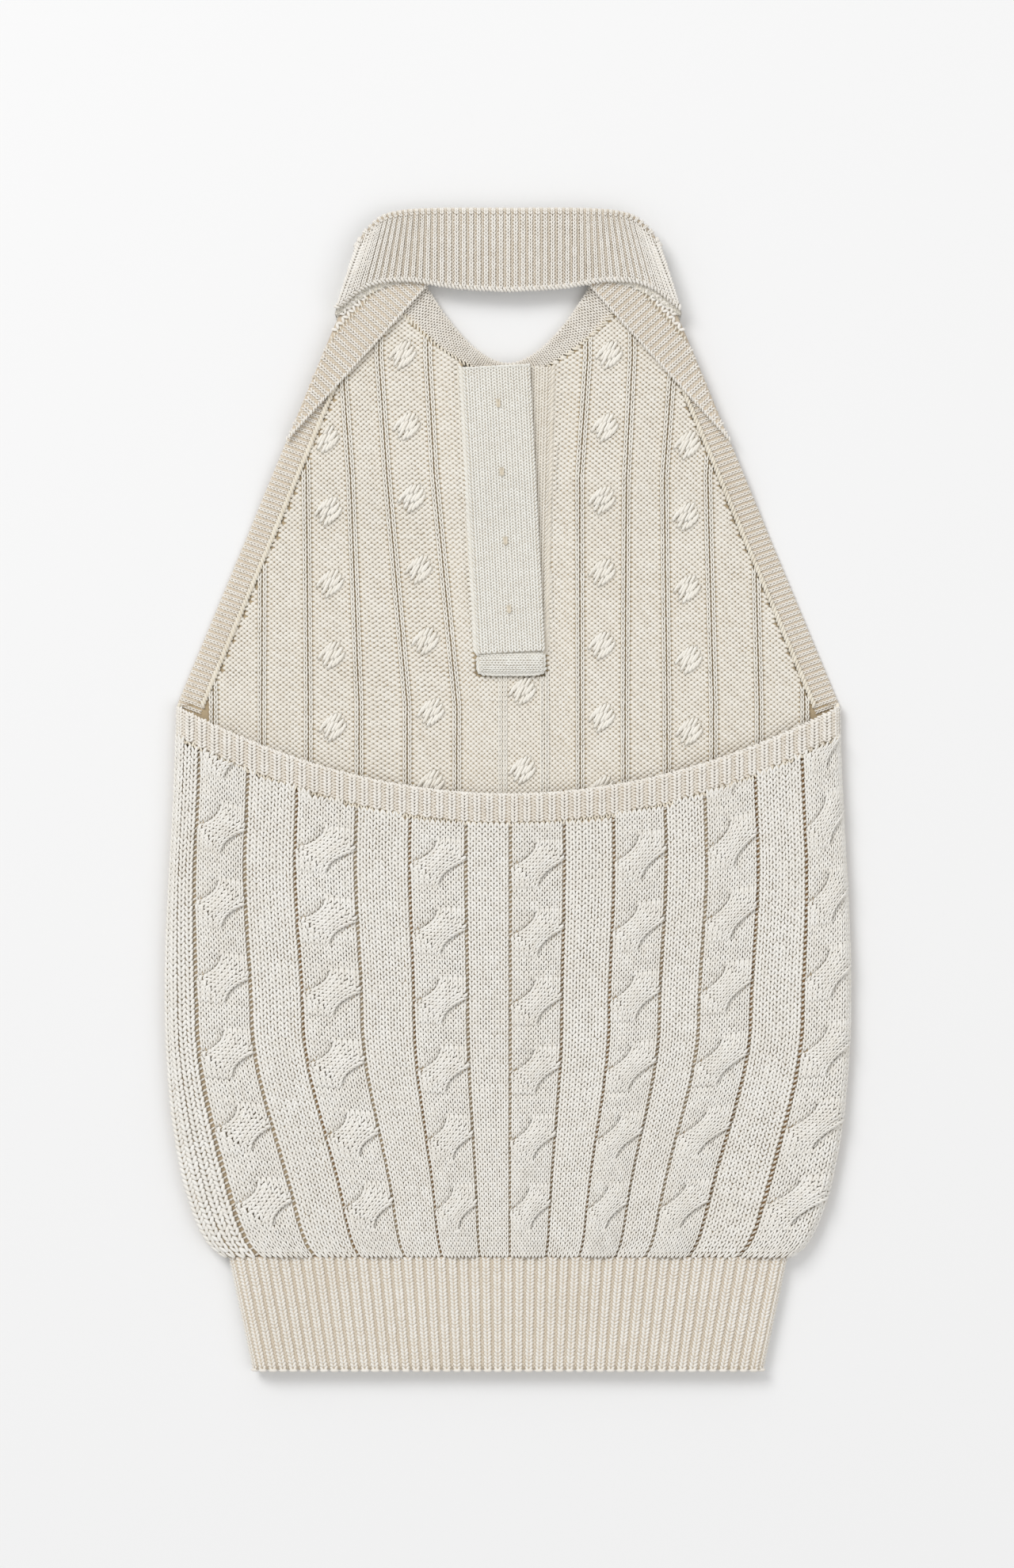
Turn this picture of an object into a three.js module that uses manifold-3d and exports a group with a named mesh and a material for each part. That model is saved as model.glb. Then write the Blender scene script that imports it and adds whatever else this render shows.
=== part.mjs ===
// A sleeveless cable-knit halter top with a polo collar, a buttoned front placket and an open back,
// lying flat on its front. Millimetres, +Z up: X runs across the body and +Y from hem to collar.
import * as THREE from "three";
import { mergeVertices } from "three/addons/utils/BufferGeometryUtils.js";
import Module from "manifold-3d";

const wasm = await Module();
wasm.setup();

// ---- Body ----
const bodyLength = 614; // hem edge to the foot of the collar at the back of the neck
const chestWidth = 390; // widest, fold to fold
const underarmInset = 6; // how far the body draws in by the underarm, on each side
const chestRise = 217; // hem edge to the widest level
const blouseHeight = 150; // height over which the body swells out above the hem rib
const hemWidth = 290; // hem rib at its free edge
const hemTopWidth = 318; // hem rib where it joins the body
const hemHeight = 65;
const knit = 3.6; // thickness of the knitted panels and ribs
const torsoGap = 5.2; // room between the front and the back
const gap = 0.3; // clearance between neighbours that touch in use
const seamWidth = 1.2; // a linked seam, seen edge on

// ---- Armholes and open back ----
const armholeDepth = 219; // underarm to shoulder tip, up the body
const armBandWidth = 13;
const armSeamWidth = 2.6; // the rolled seam inside the armhole
const shoulderDrop = 17; // shoulder tip below the collar's foot
const flapLength = 67; // how far down the armhole the band is turned over
const flapInnerX = 46; // where the turned band goes under the collar
const flapKnit = 3.4;
const scoopDepth = 50;
const scoopBandHeight = 16.5;

// ---- Collar ----
const collarWidth = 202; // tip to tip, laid flat
const collarFoldWidth = 116; // straight part of the fold at the back of the neck
const fallHeight = 47; // fold to rolled edge at the back
const collarKnit = 3.4;
const standKnit = 3.2;
const leafKnit = 3.1;
const leafLift = 0.1; // leaf above the surface that the garment lies on
const leafReach = 52; // collar point below the front neck
const leafTipX = 46;
const neckDrop = 41; // front neck below the collar's foot
const neckOpenWidth = 90; // neck opening at the level of the collar's foot
const neckbandFront = 6.5; // neckband at the centre front
const neckSpread = 1.8; // power of the neckline's curve
const neckFootRise = 34; // how far the neckband's foot has risen ...
const neckFootRiseX = 58; // ... at this distance from the centre
const neckbandFoldReach = 60; // half width over which the neckband's fold runs
const neckbandFootReach = 80; // and its foot

// ---- Placket ----
const placketLength = 153;
const bandWidth = 38;
const bandKnit = 3;
const bandRest = 3; // buttonhole band above the surface that the garment lies on
const buttonBandLean = 3; // degrees
const buttonholeBandLean = -1.3; // degrees
const placketFootX = 1.6;
const tackWidth = 36;
const tackHeight = 13.5;
const tackThickness = 5;

// ---- Buttons ----
const buttonCount = 4;
const buttonRadius = 5.5;
const buttonThickness = 2;
const buttonRest = 0.5; // button face above the surface that the garment lies on
const buttonSpacing = 39;
const firstButtonDrop = 13.5; // first button below the placket's top
const threadHoleRadius = 0.75;
const threadHoleOffset = 1.1; // from the button's centre, in x and in y
const threadRadius = 0.45;
const threadClearance = 0.1; // between the thread and the button that it holds
const buttonholeLength = 12;
const stitchHeight = 0.3; // thread lying on the button's face
const stitchLength = 5; // thread lying on the inner band

// ---- Levels up the body ----
const neckY = bodyLength;
const foldY = neckY + fallHeight;
const shoulderY = neckY - shoulderDrop;
const underarmY = shoulderY - armholeDepth;
const neckFrontY = neckY - neckDrop;
const bandTurn = THREE.MathUtils.degToRad(buttonBandLean);
const buttonholeTurn = THREE.MathUtils.degToRad(buttonholeBandLean);
const bandDip = (bandWidth / 2) * Math.sin(bandTurn); // how far a leaning band's corner strays
const placketTopY = neckFrontY - neckbandFront - gap - seamWidth - gap - bandDip;
const placketFootY = placketTopY - placketLength;
const leafTipY = neckFrontY - leafReach;
const liftEndY = leafTipY - 8;
const liftStartY = liftEndY - 42;
const underarmHalf = chestWidth / 2 - underarmInset;
const collarHalf = collarWidth / 2;
const shoulderHalf = collarHalf - 3;

// ---- Heights of the layers ----
const neckLift = leafLift + leafKnit + gap; // the neck lies on the collar's front leaves
const flapBottom = neckLift + knit + gap;
const armBandKnit = knit + gap + 0.1; // just into the turned part above it
const standBottom = flapBottom + 0.1 + gap;
const fallBottom = standBottom + standKnit + gap;
const backBottom = knit + torsoGap;

const backKnitLook = { color: 0xe8e4da, roughness: 0.92, metalness: 0 };
const insideKnitLook = { color: 0xe9e1cf, roughness: 0.94, metalness: 0 };
const ribLook = { color: 0xe6e1d6, roughness: 0.92, metalness: 0 };
const placketLook = { color: 0xe1ded6, roughness: 0.93, metalness: 0 };
const seamLook = { color: 0xdcd3c0, roughness: 0.95, metalness: 0 };
const buttonLook = { color: 0xefe9db, roughness: 0.35, metalness: 0 };

const garment = new THREE.Group();
garment.name = "cable_knit_halter_top";
garment.position.y = -foldY / 2;

const { lerp, smoothstep } = THREE.MathUtils;

// ---- Outlines ----

// Half width of the garment at a level y, from the hem edge to the shoulder tip.
function outline(y) {
  if (y <= hemHeight) return lerp(hemWidth, hemTopWidth, y / hemHeight) / 2;
  if (y >= underarmY) return lerp(underarmHalf, shoulderHalf, (y - underarmY) / armholeDepth);
  const swell = 1 - Math.min(1, (y - hemHeight) / blouseHeight);
  const bloused = lerp(hemTopWidth, chestWidth, Math.sqrt(1 - swell * swell)) / 2;
  return bloused - underarmInset * smoothstep(y, chestRise, underarmY);
}

// Top edge of the binding across the open back.
function scoopTop(x) {
  return underarmY - scoopDepth * (1 - Math.min(1, x / underarmHalf) ** 2);
}

// Height of the front above the surface: it rises where the collar's leaves lie under it.
function lift(y) {
  return neckLift * smoothstep(y, liftStartY, liftEndY);
}

// The fold along the front neckline, and the foot of the neckband, at a distance x from the centre.
function neckFold(x) {
  return neckFrontY + neckDrop * (Math.abs(x) / (neckOpenWidth / 2)) ** neckSpread;
}

function neckFoot(x) {
  return neckFrontY - neckbandFront + neckFootRise * (Math.abs(x) / neckFootRiseX) ** neckSpread;
}

// Foot of the collar's stand at the back, where the turned armhole bands are linked to it.
function standFoot(x) {
  const straight = flapInnerX + 4;
  const bend = Math.max(0, (Math.abs(x) - straight) / (shoulderHalf - straight));
  return neckY + 5.5 - (shoulderDrop + 4) * bend ** 2;
}

// The collar's fold and the rolled edge of its fall, each given for one side and mirrored.
const foldHalf = new THREE.SplineCurve([
  new THREE.Vector2(0, foldY),
  new THREE.Vector2(collarFoldWidth / 2, foldY - 1),
  new THREE.Vector2(collarHalf - 24, foldY - 10),
  new THREE.Vector2(collarHalf - 10.5, foldY - 33),
  new THREE.Vector2(collarHalf, neckY - 11),
]);
const fallEdgeHalf = new THREE.SplineCurve([
  new THREE.Vector2(0, neckY),
  new THREE.Vector2(31, neckY + 2),
  new THREE.Vector2(collarFoldWidth / 2, neckY + 6),
  new THREE.Vector2(collarHalf - 21, neckY + 3),
  new THREE.Vector2(collarHalf - 3, neckY - 10),
]);

function mirrored(halfCurve, s) {
  const p = halfCurve.getPoint(Math.abs(s));
  return new THREE.Vector2(Math.sign(s) * p.x, p.y);
}

// ---- Solids ----

function closed(geometry) {
  geometry.deleteAttribute("normal");
  geometry.deleteAttribute("uv");
  return mergeVertices(geometry, 1e-4);
}

// A closed sheet of fabric: a unit box cut into columns and rows, whose points place(u, v, w) sets.
// u and v run from 0 to 1 across and up the sheet, and w is 0 on its under face and 1 on its upper face.
function sheet(columns, rows, place) {
  const box = new THREE.BoxGeometry(1, 1, 1, columns, rows, 1);
  const points = box.getAttribute("position");
  for (let i = 0; i < points.count; i += 1) {
    const [x, y, z] = place(points.getX(i) + 0.5, points.getY(i) + 0.5, points.getZ(i) + 0.5);
    points.setXYZ(i, x, y, z);
  }
  return closed(box);
}

function prism(shape, bottom, height, curveSegments = 12) {
  const options = { depth: height, bevelEnabled: false, curveSegments };
  const geometry = new THREE.ExtrudeGeometry(shape, options);
  return closed(geometry.translate(0, 0, bottom));
}

function box(width, depth, bottom, top) {
  const geometry = new THREE.BoxGeometry(width, depth, top - bottom);
  return closed(geometry.translate(0, 0, (bottom + top) / 2));
}

function rod(radius, bottom, top) {
  const geometry = new THREE.CylinderGeometry(radius, radius, top - bottom, 8);
  return closed(geometry.rotateX(Math.PI / 2).translate(0, 0, (bottom + top) / 2));
}

function toSolid(geometry) {
  return new wasm.Manifold(
    new wasm.Mesh({
      numProp: 3,
      vertProperties: geometry.getAttribute("position").array,
      triVerts: new Uint32Array(geometry.index.array),
    }),
  );
}

function toGeometry(solid) {
  const { vertProperties, triVerts } = solid.getMesh();
  return new THREE.BufferGeometry()
    .setAttribute("position", new THREE.BufferAttribute(vertProperties, 3))
    .setIndex(new THREE.BufferAttribute(triVerts, 1));
}

function cut(geometry, ...tools) {
  return toGeometry(tools.reduce((solid, tool) => solid.subtract(toSolid(tool)), toSolid(geometry)));
}

function join(first, ...others) {
  return toGeometry(others.reduce((solid, other) => solid.add(toSolid(other)), toSolid(first)));
}

function addPiece(name, geometry, look, parent = garment) {
  const shaded = geometry.toNonIndexed();
  shaded.computeVertexNormals();
  const piece = new THREE.Mesh(shaded, new THREE.MeshStandardMaterial(look));
  piece.name = name;
  parent.add(piece);
  return piece;
}

// ---- Placket places ----
const upperBandRest = bandRest + bandKnit + gap;

// A point of a band that leans about the placket's foot, given across and up the band.
function onBand(across, up, turn) {
  const x = placketFootX + across * Math.cos(turn) - up * Math.sin(turn);
  const y = placketFootY + across * Math.sin(turn) + up * Math.cos(turn);
  return [x, y];
}

function buttonPlaces() {
  const places = [];
  for (let i = 0; i < buttonCount; i += 1) {
    const up = placketLength - firstButtonDrop - i * buttonSpacing;
    const [x, y] = onBand(0, up, bandTurn);
    places.push(new THREE.Vector3(x, y, lift(y)));
  }
  return places;
}

function placketSlit() {
  const margin = gap + seamWidth + gap;
  const half = bandWidth / 2;
  const corners = [
    onBand(-half, 0, bandTurn),
    onBand(half, 0, buttonholeTurn),
    onBand(half, placketLength + 40, buttonholeTurn),
    onBand(-half, placketLength + 40, bandTurn),
  ];
  const shape = new THREE.Shape();
  shape.moveTo(corners[0][0] - margin, corners[0][1] - gap);
  shape.lineTo(corners[1][0] + margin, corners[1][1] - gap);
  shape.lineTo(corners[2][0] + margin, corners[2][1]);
  shape.lineTo(corners[3][0] - margin, corners[3][1]);
  return prism(shape, -1, neckLift + knit + 2);
}

// ---- Panels and hem ribs ----

// Levels up the front, each with how far its edge stands in from the outline: the full width to the
// underarm, and inside the armhole's band and seam above it.
function frontLevels() {
  const foot = hemHeight + gap;
  const notchY = underarmY - gap;
  const inside = armBandWidth + gap + armSeamWidth + gap;
  const levels = [];
  for (let i = 0; i <= 13; i += 1) levels.push([lerp(foot, notchY - 1, i / 13), 0]);
  for (let i = 0; i <= 16; i += 1) levels.push([lerp(notchY, shoulderY + 4, i / 16), inside]);
  return levels;
}

function frontPanel() {
  const levels = frontLevels();
  const body = sheet(12, levels.length - 1, (u, v, w) => {
    const [y, inset] = levels[Math.round(v * (levels.length - 1))];
    const half = outline(y) - inset;
    return [lerp(-half, half, u), y, lift(y) + w * knit];
  });
  const neck = new THREE.Shape();
  const reach = neckbandFootReach + 12;
  neck.moveTo(-reach, neckFoot(reach) + 10);
  for (let i = 0; i <= 24; i += 1) {
    const x = lerp(-reach, reach, i / 24);
    neck.lineTo(x, neckFoot(x) - gap - seamWidth - gap);
  }
  neck.lineTo(reach, neckFoot(reach) + 10);
  return cut(body, prism(neck, -1, neckLift + knit + 2), placketSlit());
}

function backPanel() {
  const foot = hemHeight + gap;
  const step = scoopBandHeight + gap + seamWidth + gap;
  const sideTop = underarmY - step;
  return sheet(14, 14, (u, v, w) => {
    const level = lerp(foot, sideTop, v);
    const half = outline(level);
    const x = lerp(-half, half, u);
    const rise = (scoopTop(Math.abs(x)) - step - foot) / (sideTop - foot);
    return [x, foot + (level - foot) * rise, backBottom + w * knit];
  });
}

function hemRib(bottom) {
  return sheet(4, 3, (u, v, w) => {
    const y = v * hemHeight;
    const half = outline(y);
    return [lerp(-half, half, u), y, bottom + w * knit];
  });
}

addPiece("front_panel", frontPanel(), insideKnitLook);
addPiece("front_hem_rib", hemRib(0), ribLook);
addPiece("back_panel", backPanel(), backKnitLook);
addPiece("back_hem_rib", hemRib(backBottom), ribLook);

// ---- Open back ----

// A strip that follows the scoop, from a distance below its top edge to a smaller one.
function scoopStrip(below, above, bottom, height) {
  return sheet(24, 1, (u, v, w) => {
    const half = outline(underarmY) - gap * 0.5;
    const x = lerp(-half, half, u);
    return [x, scoopTop(Math.abs(x)) - lerp(below, above, v), bottom + w * height];
  });
}

addPiece("back_neckline_binding", scoopStrip(scoopBandHeight, 0, backBottom, knit), ribLook);
const scoopSeamTop = scoopBandHeight + gap;
const scoopSeam = scoopStrip(scoopSeamTop + seamWidth, scoopSeamTop, backBottom + 0.4, knit - 0.6);
addPiece("back_neckline_seam", scoopSeam, seamLook);

// ---- Side seams and armholes ----

// A strip up one side, from one level to another, between two distances in from the outline.
function sideStrip(side, rows, [fromY, toY], [outer, inner], height) {
  return sheet(1, rows, (u, v, w) => {
    const y = lerp(fromY, toY, v);
    const inward = side > 0 ? 1 - u : u;
    const [bottom, top] = height(y);
    return [side * (outline(y) - lerp(outer, inner, inward)), y, lerp(bottom, top, w)];
  });
}

function armholeBinding(side) {
  const levels = [underarmY + gap, shoulderY - gap];
  const band = sideStrip(side, 18, levels, [0, armBandWidth], (y) => [
    lift(y),
    lift(y) + armBandKnit,
  ]);
  const flapFootY = shoulderY - flapLength;
  const foot = new THREE.Vector2(outline(flapFootY), flapFootY);
  const turned = new THREE.Shape();
  turned.moveTo(side * foot.x, foot.y);
  turned.lineTo(side * shoulderHalf, shoulderY - gap);
  for (let i = 1; i <= 6; i += 1) {
    const x = lerp(shoulderHalf, flapInnerX, i / 6);
    turned.lineTo(side * x, standFoot(x) - gap - 1);
  }
  turned.quadraticCurveTo(side * (foot.x - 35), neckY - 30, side * foot.x, foot.y);
  return join(band, prism(turned, flapBottom, flapKnit));
}

function armholeSeam(side) {
  const levels = [underarmY + gap, shoulderY - gap];
  const across = [armBandWidth + gap, armBandWidth + gap + armSeamWidth];
  return sideStrip(side, 18, levels, across, (y) => [lift(y) + 0.2, lift(y) + knit - 0.1]);
}

function sideSeam(side) {
  const levels = [gap, underarmY - gap];
  return sideStrip(side, 16, levels, [2, 8], () => [knit + gap, backBottom - gap]);
}

for (const [label, side] of [["left", -1], ["right", 1]]) {
  addPiece(`side_seam_${label}`, sideSeam(side), seamLook);
  addPiece(`armhole_binding_${label}`, armholeBinding(side), ribLook);
  addPiece(`armhole_seam_${label}`, armholeSeam(side), seamLook);
}

// ---- Collar ----

function neckStrip(columns, foldReach, footReach, [bottom, height], footOf, foldOf) {
  return sheet(columns, 1, (u, v, w) => {
    const s = 2 * u - 1;
    const x = s * lerp(footReach, foldReach, v);
    const y = lerp(footOf(s * footReach), foldOf(s * foldReach), v);
    return [x, y, bottom + w * height];
  });
}

// The part of the collar between its fold and a lower edge, at the back of the neck.
function collarPart(lowerEdge, inset, bottom, height) {
  return sheet(24, 3, (u, v, w) => {
    const s = 2 * u - 1;
    const fold = mirrored(foldHalf, s).multiply(new THREE.Vector2(1 - inset / collarHalf, 1));
    fold.y -= inset;
    const p = lowerEdge(s).lerp(fold, v);
    return [p.x, p.y, bottom + w * height];
  });
}

function standEdge(s) {
  const x = s * (shoulderHalf - 2);
  return new THREE.Vector2(x, standFoot(x));
}

function frontLeaf(side) {
  const leaf = new THREE.Shape();
  const first = 5;
  leaf.moveTo(side * first, neckFold(first) - 1.2);
  leaf.lineTo(side * leafTipX, leafTipY);
  leaf.lineTo(side * (collarHalf - 4), shoulderY - 2);
  leaf.lineTo(side * (collarHalf - 2), neckY - 11);
  leaf.lineTo(side * (collarHalf - 13), foldY - 35);
  leaf.lineTo(side * (neckbandFoldReach + 10), foldY - 16);
  for (let i = 0; i <= 7; i += 1) {
    const x = lerp(neckbandFoldReach, first, i / 8);
    leaf.lineTo(side * x, neckFold(x) - 1.2);
  }
  return prism(leaf, leafLift, leafKnit);
}

const neckLevels = [neckLift, knit];
const neckband = neckStrip(24, neckbandFoldReach, neckbandFootReach, neckLevels, neckFoot, neckFold);
addPiece("neckband", neckband, ribLook);
const seamLevels = [neckLift + 0.4, knit - 0.6];
const seamReach = neckbandFootReach - 2;
const collarSeam = neckStrip(24, seamReach, seamReach, seamLevels, (x) => neckFoot(x) - gap - seamWidth,
  (x) => neckFoot(x) - gap);
addPiece("collar_seam", collarSeam, seamLook);
addPiece("collar_stand", collarPart(standEdge, 1.5, standBottom, standKnit), ribLook);
const fallEdge = (s) => mirrored(fallEdgeHalf, s);
addPiece("collar_fall", collarPart(fallEdge, 0, fallBottom, collarKnit), ribLook);
addPiece("collar_leaf_left", frontLeaf(-1), ribLook);
addPiece("collar_leaf_right", frontLeaf(1), ribLook);

// ---- Placket ----

function bandSheet(turn, rest) {
  return sheet(1, 14, (u, v, w) => {
    const [x, y] = onBand((u - 0.5) * bandWidth, v * placketLength, turn);
    return [x, y, lift(y) + rest + w * bandKnit];
  });
}

// Slots that let the button shanks through the outer band, and round holes through the inner one.
function shankHoles(length, width) {
  return buttonPlaces().map((place) => {
    const half = width / 2;
    const straight = length / 2 - half;
    const slot = new THREE.Shape();
    slot.absarc(0, straight, half, 0, Math.PI);
    slot.absarc(0, -straight, half, Math.PI, 2 * Math.PI);
    return prism(slot, 0, 12, 5).translate(place.x, place.y, place.z + 1);
  });
}

function placketSeam(side, turn, rest) {
  const from = bandWidth / 2 + gap;
  return sheet(1, 14, (u, v, w) => {
    const across = side > 0 ? from + u * seamWidth : -from - (1 - u) * seamWidth;
    const [x, y] = onBand(across, v * (placketLength - 2), turn);
    return [x, y, lift(y) + lerp(0.3, rest + bandKnit - 0.3, w)];
  });
}

function tack() {
  const corner = tackThickness / 2;
  const profile = new THREE.Shape();
  const half = tackHeight / 2;
  profile.moveTo(-half, 0);
  profile.lineTo(half, 0);
  profile.lineTo(half, tackThickness - corner);
  profile.absarc(half - corner, tackThickness - corner, corner, 0, Math.PI / 2);
  profile.absarc(corner - half, tackThickness - corner, corner, Math.PI / 2, Math.PI);
  const geometry = new THREE.ExtrudeGeometry(profile, { depth: tackWidth, bevelEnabled: false, curveSegments: 5 });
  const turned = geometry.rotateX(Math.PI / 2).rotateZ(Math.PI / 2).translate(-tackWidth / 2, 0, 0);
  const y = placketFootY - bandDip - gap - half;
  return closed(turned.translate(placketFootX, y, knit + gap));
}

const threadReach = threadHoleOffset + threadRadius;
const shankSlot = 2 * (threadReach * Math.SQRT2 + gap);
const buttonBand = cut(bandSheet(bandTurn, upperBandRest), ...shankHoles(shankSlot, shankSlot));
const buttonholes = shankHoles(buttonholeLength, shankSlot);
const buttonholeBand = cut(bandSheet(buttonholeTurn, bandRest), ...buttonholes);
addPiece("button_band", buttonBand, placketLook);
addPiece("buttonhole_band", buttonholeBand, placketLook);
addPiece("placket_seam_left", placketSeam(-1, bandTurn, upperBandRest), seamLook);
addPiece("placket_seam_right", placketSeam(1, buttonholeTurn, bandRest), seamLook);
addPiece("placket_bottom_tack", tack(), placketLook);

// ---- Buttons, face down on the outer band, with their threads ----

function button() {
  const disc = new THREE.Shape().absarc(0, 0, buttonRadius, 0, 2 * Math.PI);
  for (const x of [-threadHoleOffset, threadHoleOffset]) {
    for (const y of [-threadHoleOffset, threadHoleOffset]) {
      disc.holes.push(new THREE.Path().absarc(x, y, threadHoleRadius, 0, 2 * Math.PI, true));
    }
  }
  return prism(disc, buttonRest, buttonThickness, 8);
}

// Four strands from the button's face to the inner band, with the stitches that join them at each end.
function buttonThread() {
  const faceTop = buttonRest - threadClearance;
  const bandTop = upperBandRest + bandKnit + gap;
  const strands = [];
  for (const x of [-threadHoleOffset, threadHoleOffset]) {
    for (const y of [-threadHoleOffset, threadHoleOffset]) {
      strands.push(rod(threadRadius, faceTop - stitchHeight / 2, bandTop + 0.1).translate(x, y, 0));
    }
    const stitch = box(2 * threadRadius, 2 * threadReach, faceTop - stitchHeight, faceTop);
    strands.push(stitch.translate(x, 0, 0));
  }
  return join(box(2 * threadReach, stitchLength, bandTop, bandTop + 2 * stitchHeight), ...strands);
}

buttonPlaces().forEach((place, i) => {
  const sewn = new THREE.Group();
  sewn.position.copy(place);
  sewn.rotation.z = bandTurn;
  garment.add(sewn);
  addPiece(`button_${i + 1}`, button(), buttonLook, sewn);
  addPiece(`button_thread_${i + 1}`, buttonThread(), seamLook, sewn);
});

export default garment;
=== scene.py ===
"""A sleeveless cable-knit halter top lying flat on its front: open back, ribbed polo collar, buttoned placket.

Lengths are millimetres in the garment's own terms, with y measured up from the hem edge, and become
metres in the model's frame when a mesh is made.
"""

import math

import bpy
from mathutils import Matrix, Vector
import numpy as np


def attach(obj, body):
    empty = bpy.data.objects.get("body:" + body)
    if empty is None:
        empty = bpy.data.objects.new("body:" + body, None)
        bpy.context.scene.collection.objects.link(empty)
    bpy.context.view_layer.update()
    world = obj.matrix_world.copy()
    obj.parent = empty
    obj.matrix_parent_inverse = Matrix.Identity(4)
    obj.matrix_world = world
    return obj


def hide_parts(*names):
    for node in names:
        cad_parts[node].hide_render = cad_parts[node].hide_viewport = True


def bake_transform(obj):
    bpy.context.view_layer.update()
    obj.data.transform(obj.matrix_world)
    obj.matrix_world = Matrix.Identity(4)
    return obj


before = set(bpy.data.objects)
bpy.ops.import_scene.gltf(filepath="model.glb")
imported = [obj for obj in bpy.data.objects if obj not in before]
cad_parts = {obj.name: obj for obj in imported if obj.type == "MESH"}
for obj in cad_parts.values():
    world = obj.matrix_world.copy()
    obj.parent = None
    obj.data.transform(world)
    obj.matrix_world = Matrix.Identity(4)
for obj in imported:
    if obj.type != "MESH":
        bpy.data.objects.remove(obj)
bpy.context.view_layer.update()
random = np.random.default_rng(31)

# ---- Body ----
body_length = 614
chest_width = 390
underarm_inset = 6
chest_rise = 217
blouse_height = 150
hem_width = 290
hem_top_width = 318
hem_height = 65
knit = 3.6
torso_gap = 5.2
gap = 0.3
seam_width = 1.2

# ---- Armholes and open back ----
armhole_depth = 219
arm_band_width = 13
arm_seam_width = 2.6
shoulder_drop = 17
flap_length = 67
flap_inner_x = 46
flap_knit = 3.4
scoop_depth = 50
scoop_band_height = 16.5

# ---- Collar ----
collar_width = 202
collar_fold_width = 116
fall_height = 47
collar_knit = 3.4
stand_knit = 3.2
leaf_knit = 3.1
leaf_lift = 0.1
leaf_reach = 52
leaf_tip_x = 46
neck_drop = 41
neck_open_width = 90
neckband_front = 6.5
neck_spread = 1.8
neck_foot_rise = 34
neck_foot_rise_x = 58
neckband_fold_reach = 60
neckband_foot_reach = 80

# ---- Placket ----
placket_length = 153
band_width = 38
band_knit = 3
band_rest = 3
button_band_lean = math.radians(3)
buttonhole_band_lean = math.radians(-1.3)
placket_foot_x = 1.6
tack_width = 36
tack_height = 13.5
tack_thickness = 5
button_count = 4
button_spacing = 39
first_button_drop = 13.5

# ---- Levels ----
neck_y = body_length
fold_y = neck_y + fall_height
shoulder_y = neck_y - shoulder_drop
underarm_y = shoulder_y - armhole_depth
underarm_half = chest_width / 2 - underarm_inset
collar_half = collar_width / 2
shoulder_half = collar_half - 3
neck_front_y = neck_y - neck_drop
band_dip = (band_width / 2) * math.sin(button_band_lean)
placket_top_y = neck_front_y - neckband_front - gap - seam_width - gap - band_dip
placket_foot_y = placket_top_y - placket_length
leaf_tip_y = neck_front_y - leaf_reach
lift_end_y = leaf_tip_y - 8
lift_start_y = lift_end_y - 42
neck_lift = leaf_lift + leaf_knit + gap
flap_bottom = neck_lift + knit + gap
stand_bottom = flap_bottom + 0.1 + gap
fall_bottom = stand_bottom + stand_knit + gap
back_bottom = knit + torso_gap
back_top = back_bottom + knit
middle = back_top / 2  # height at which front and back meet along the sides
side_roll = 6.2  # how far in from the side the fabric starts to curve down

# ---- Knitting ----
wale = 3.6
course = 2.8
fine_course = 2.0
yarn = 1.5
cable_period = 39  # 14 courses
cable_first = 92.9
cable_crossings = 7
crossing_height = 15
crossing_stagger = 11.5
cable_wales = 5  # in each of a cable's two strands
channel = 1.9  # purl ladder on each side of a cable
hem_ribs = 51
scoop_ribs = 54
collar_ribs = 49
collar_end = 0.61  # share of the collar's half width where its two end parts begin
flap_ribs = 27  # along the turned part of an armhole's band
flap_band = 18.5

UP = (0, 0, 1.0)
sides = ((-1, "left"), (1, "right"))


# ---- Shapes of the garment ----

def smooth(value, low, high):
    t = np.clip((value - low) / (high - low), 0, 1)
    return t * t * (3 - 2 * t)


def mix(a, b, t):
    return a + (b - a) * t


def outline(y):
    """Half width of the garment at a level."""
    y = np.asarray(y, float)
    hem = mix(hem_width, hem_top_width, y / hem_height) / 2
    swell = 1 - np.clip((y - hem_height) / blouse_height, 0, 1)
    bloused = mix(hem_top_width, chest_width, np.sqrt(1 - swell**2)) / 2
    bloused = bloused - underarm_inset * smooth(y, chest_rise, underarm_y)
    arm = mix(underarm_half, shoulder_half, (y - underarm_y) / armhole_depth)
    return np.where(y <= hem_height, hem, np.where(y >= underarm_y, arm, bloused))


def scoop_top(x):
    return underarm_y - scoop_depth * (1 - np.minimum(1, np.abs(x) / underarm_half) ** 2)


def lift(y):
    return neck_lift * smooth(np.asarray(y, float), lift_start_y, lift_end_y)


def neck_fold(x):
    return neck_front_y + neck_drop * (np.abs(x) / (neck_open_width / 2)) ** neck_spread


def neck_foot(x):
    return neck_front_y - neckband_front + neck_foot_rise * (np.abs(x) / neck_foot_rise_x) ** neck_spread


def stand_foot(x):
    straight = flap_inner_x + 4
    bend = np.maximum(0, (np.abs(x) - straight) / (shoulder_half - straight))
    return neck_y + 5.5 - (shoulder_drop + 4) * bend**2


def spline(points, t):
    """A smooth curve through points, for t from 0 to 1."""
    points = np.asarray(points, float)
    last = len(points) - 1
    t = np.clip(np.asarray(t, float), 0, 1) * last
    i = np.minimum(t.astype(int), last - 1)
    w = (t - i)[..., None]
    p0, p1 = points[np.maximum(i - 1, 0)], points[i]
    p2, p3 = points[i + 1], points[np.minimum(i + 2, last)]
    v0, v1 = (p2 - p0) / 2, (p3 - p1) / 2
    return (2 * p1 - 2 * p2 + v0 + v1) * w**3 + (-3 * p1 + 3 * p2 - 2 * v0 - v1) * w**2 + v0 * w + p1


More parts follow.
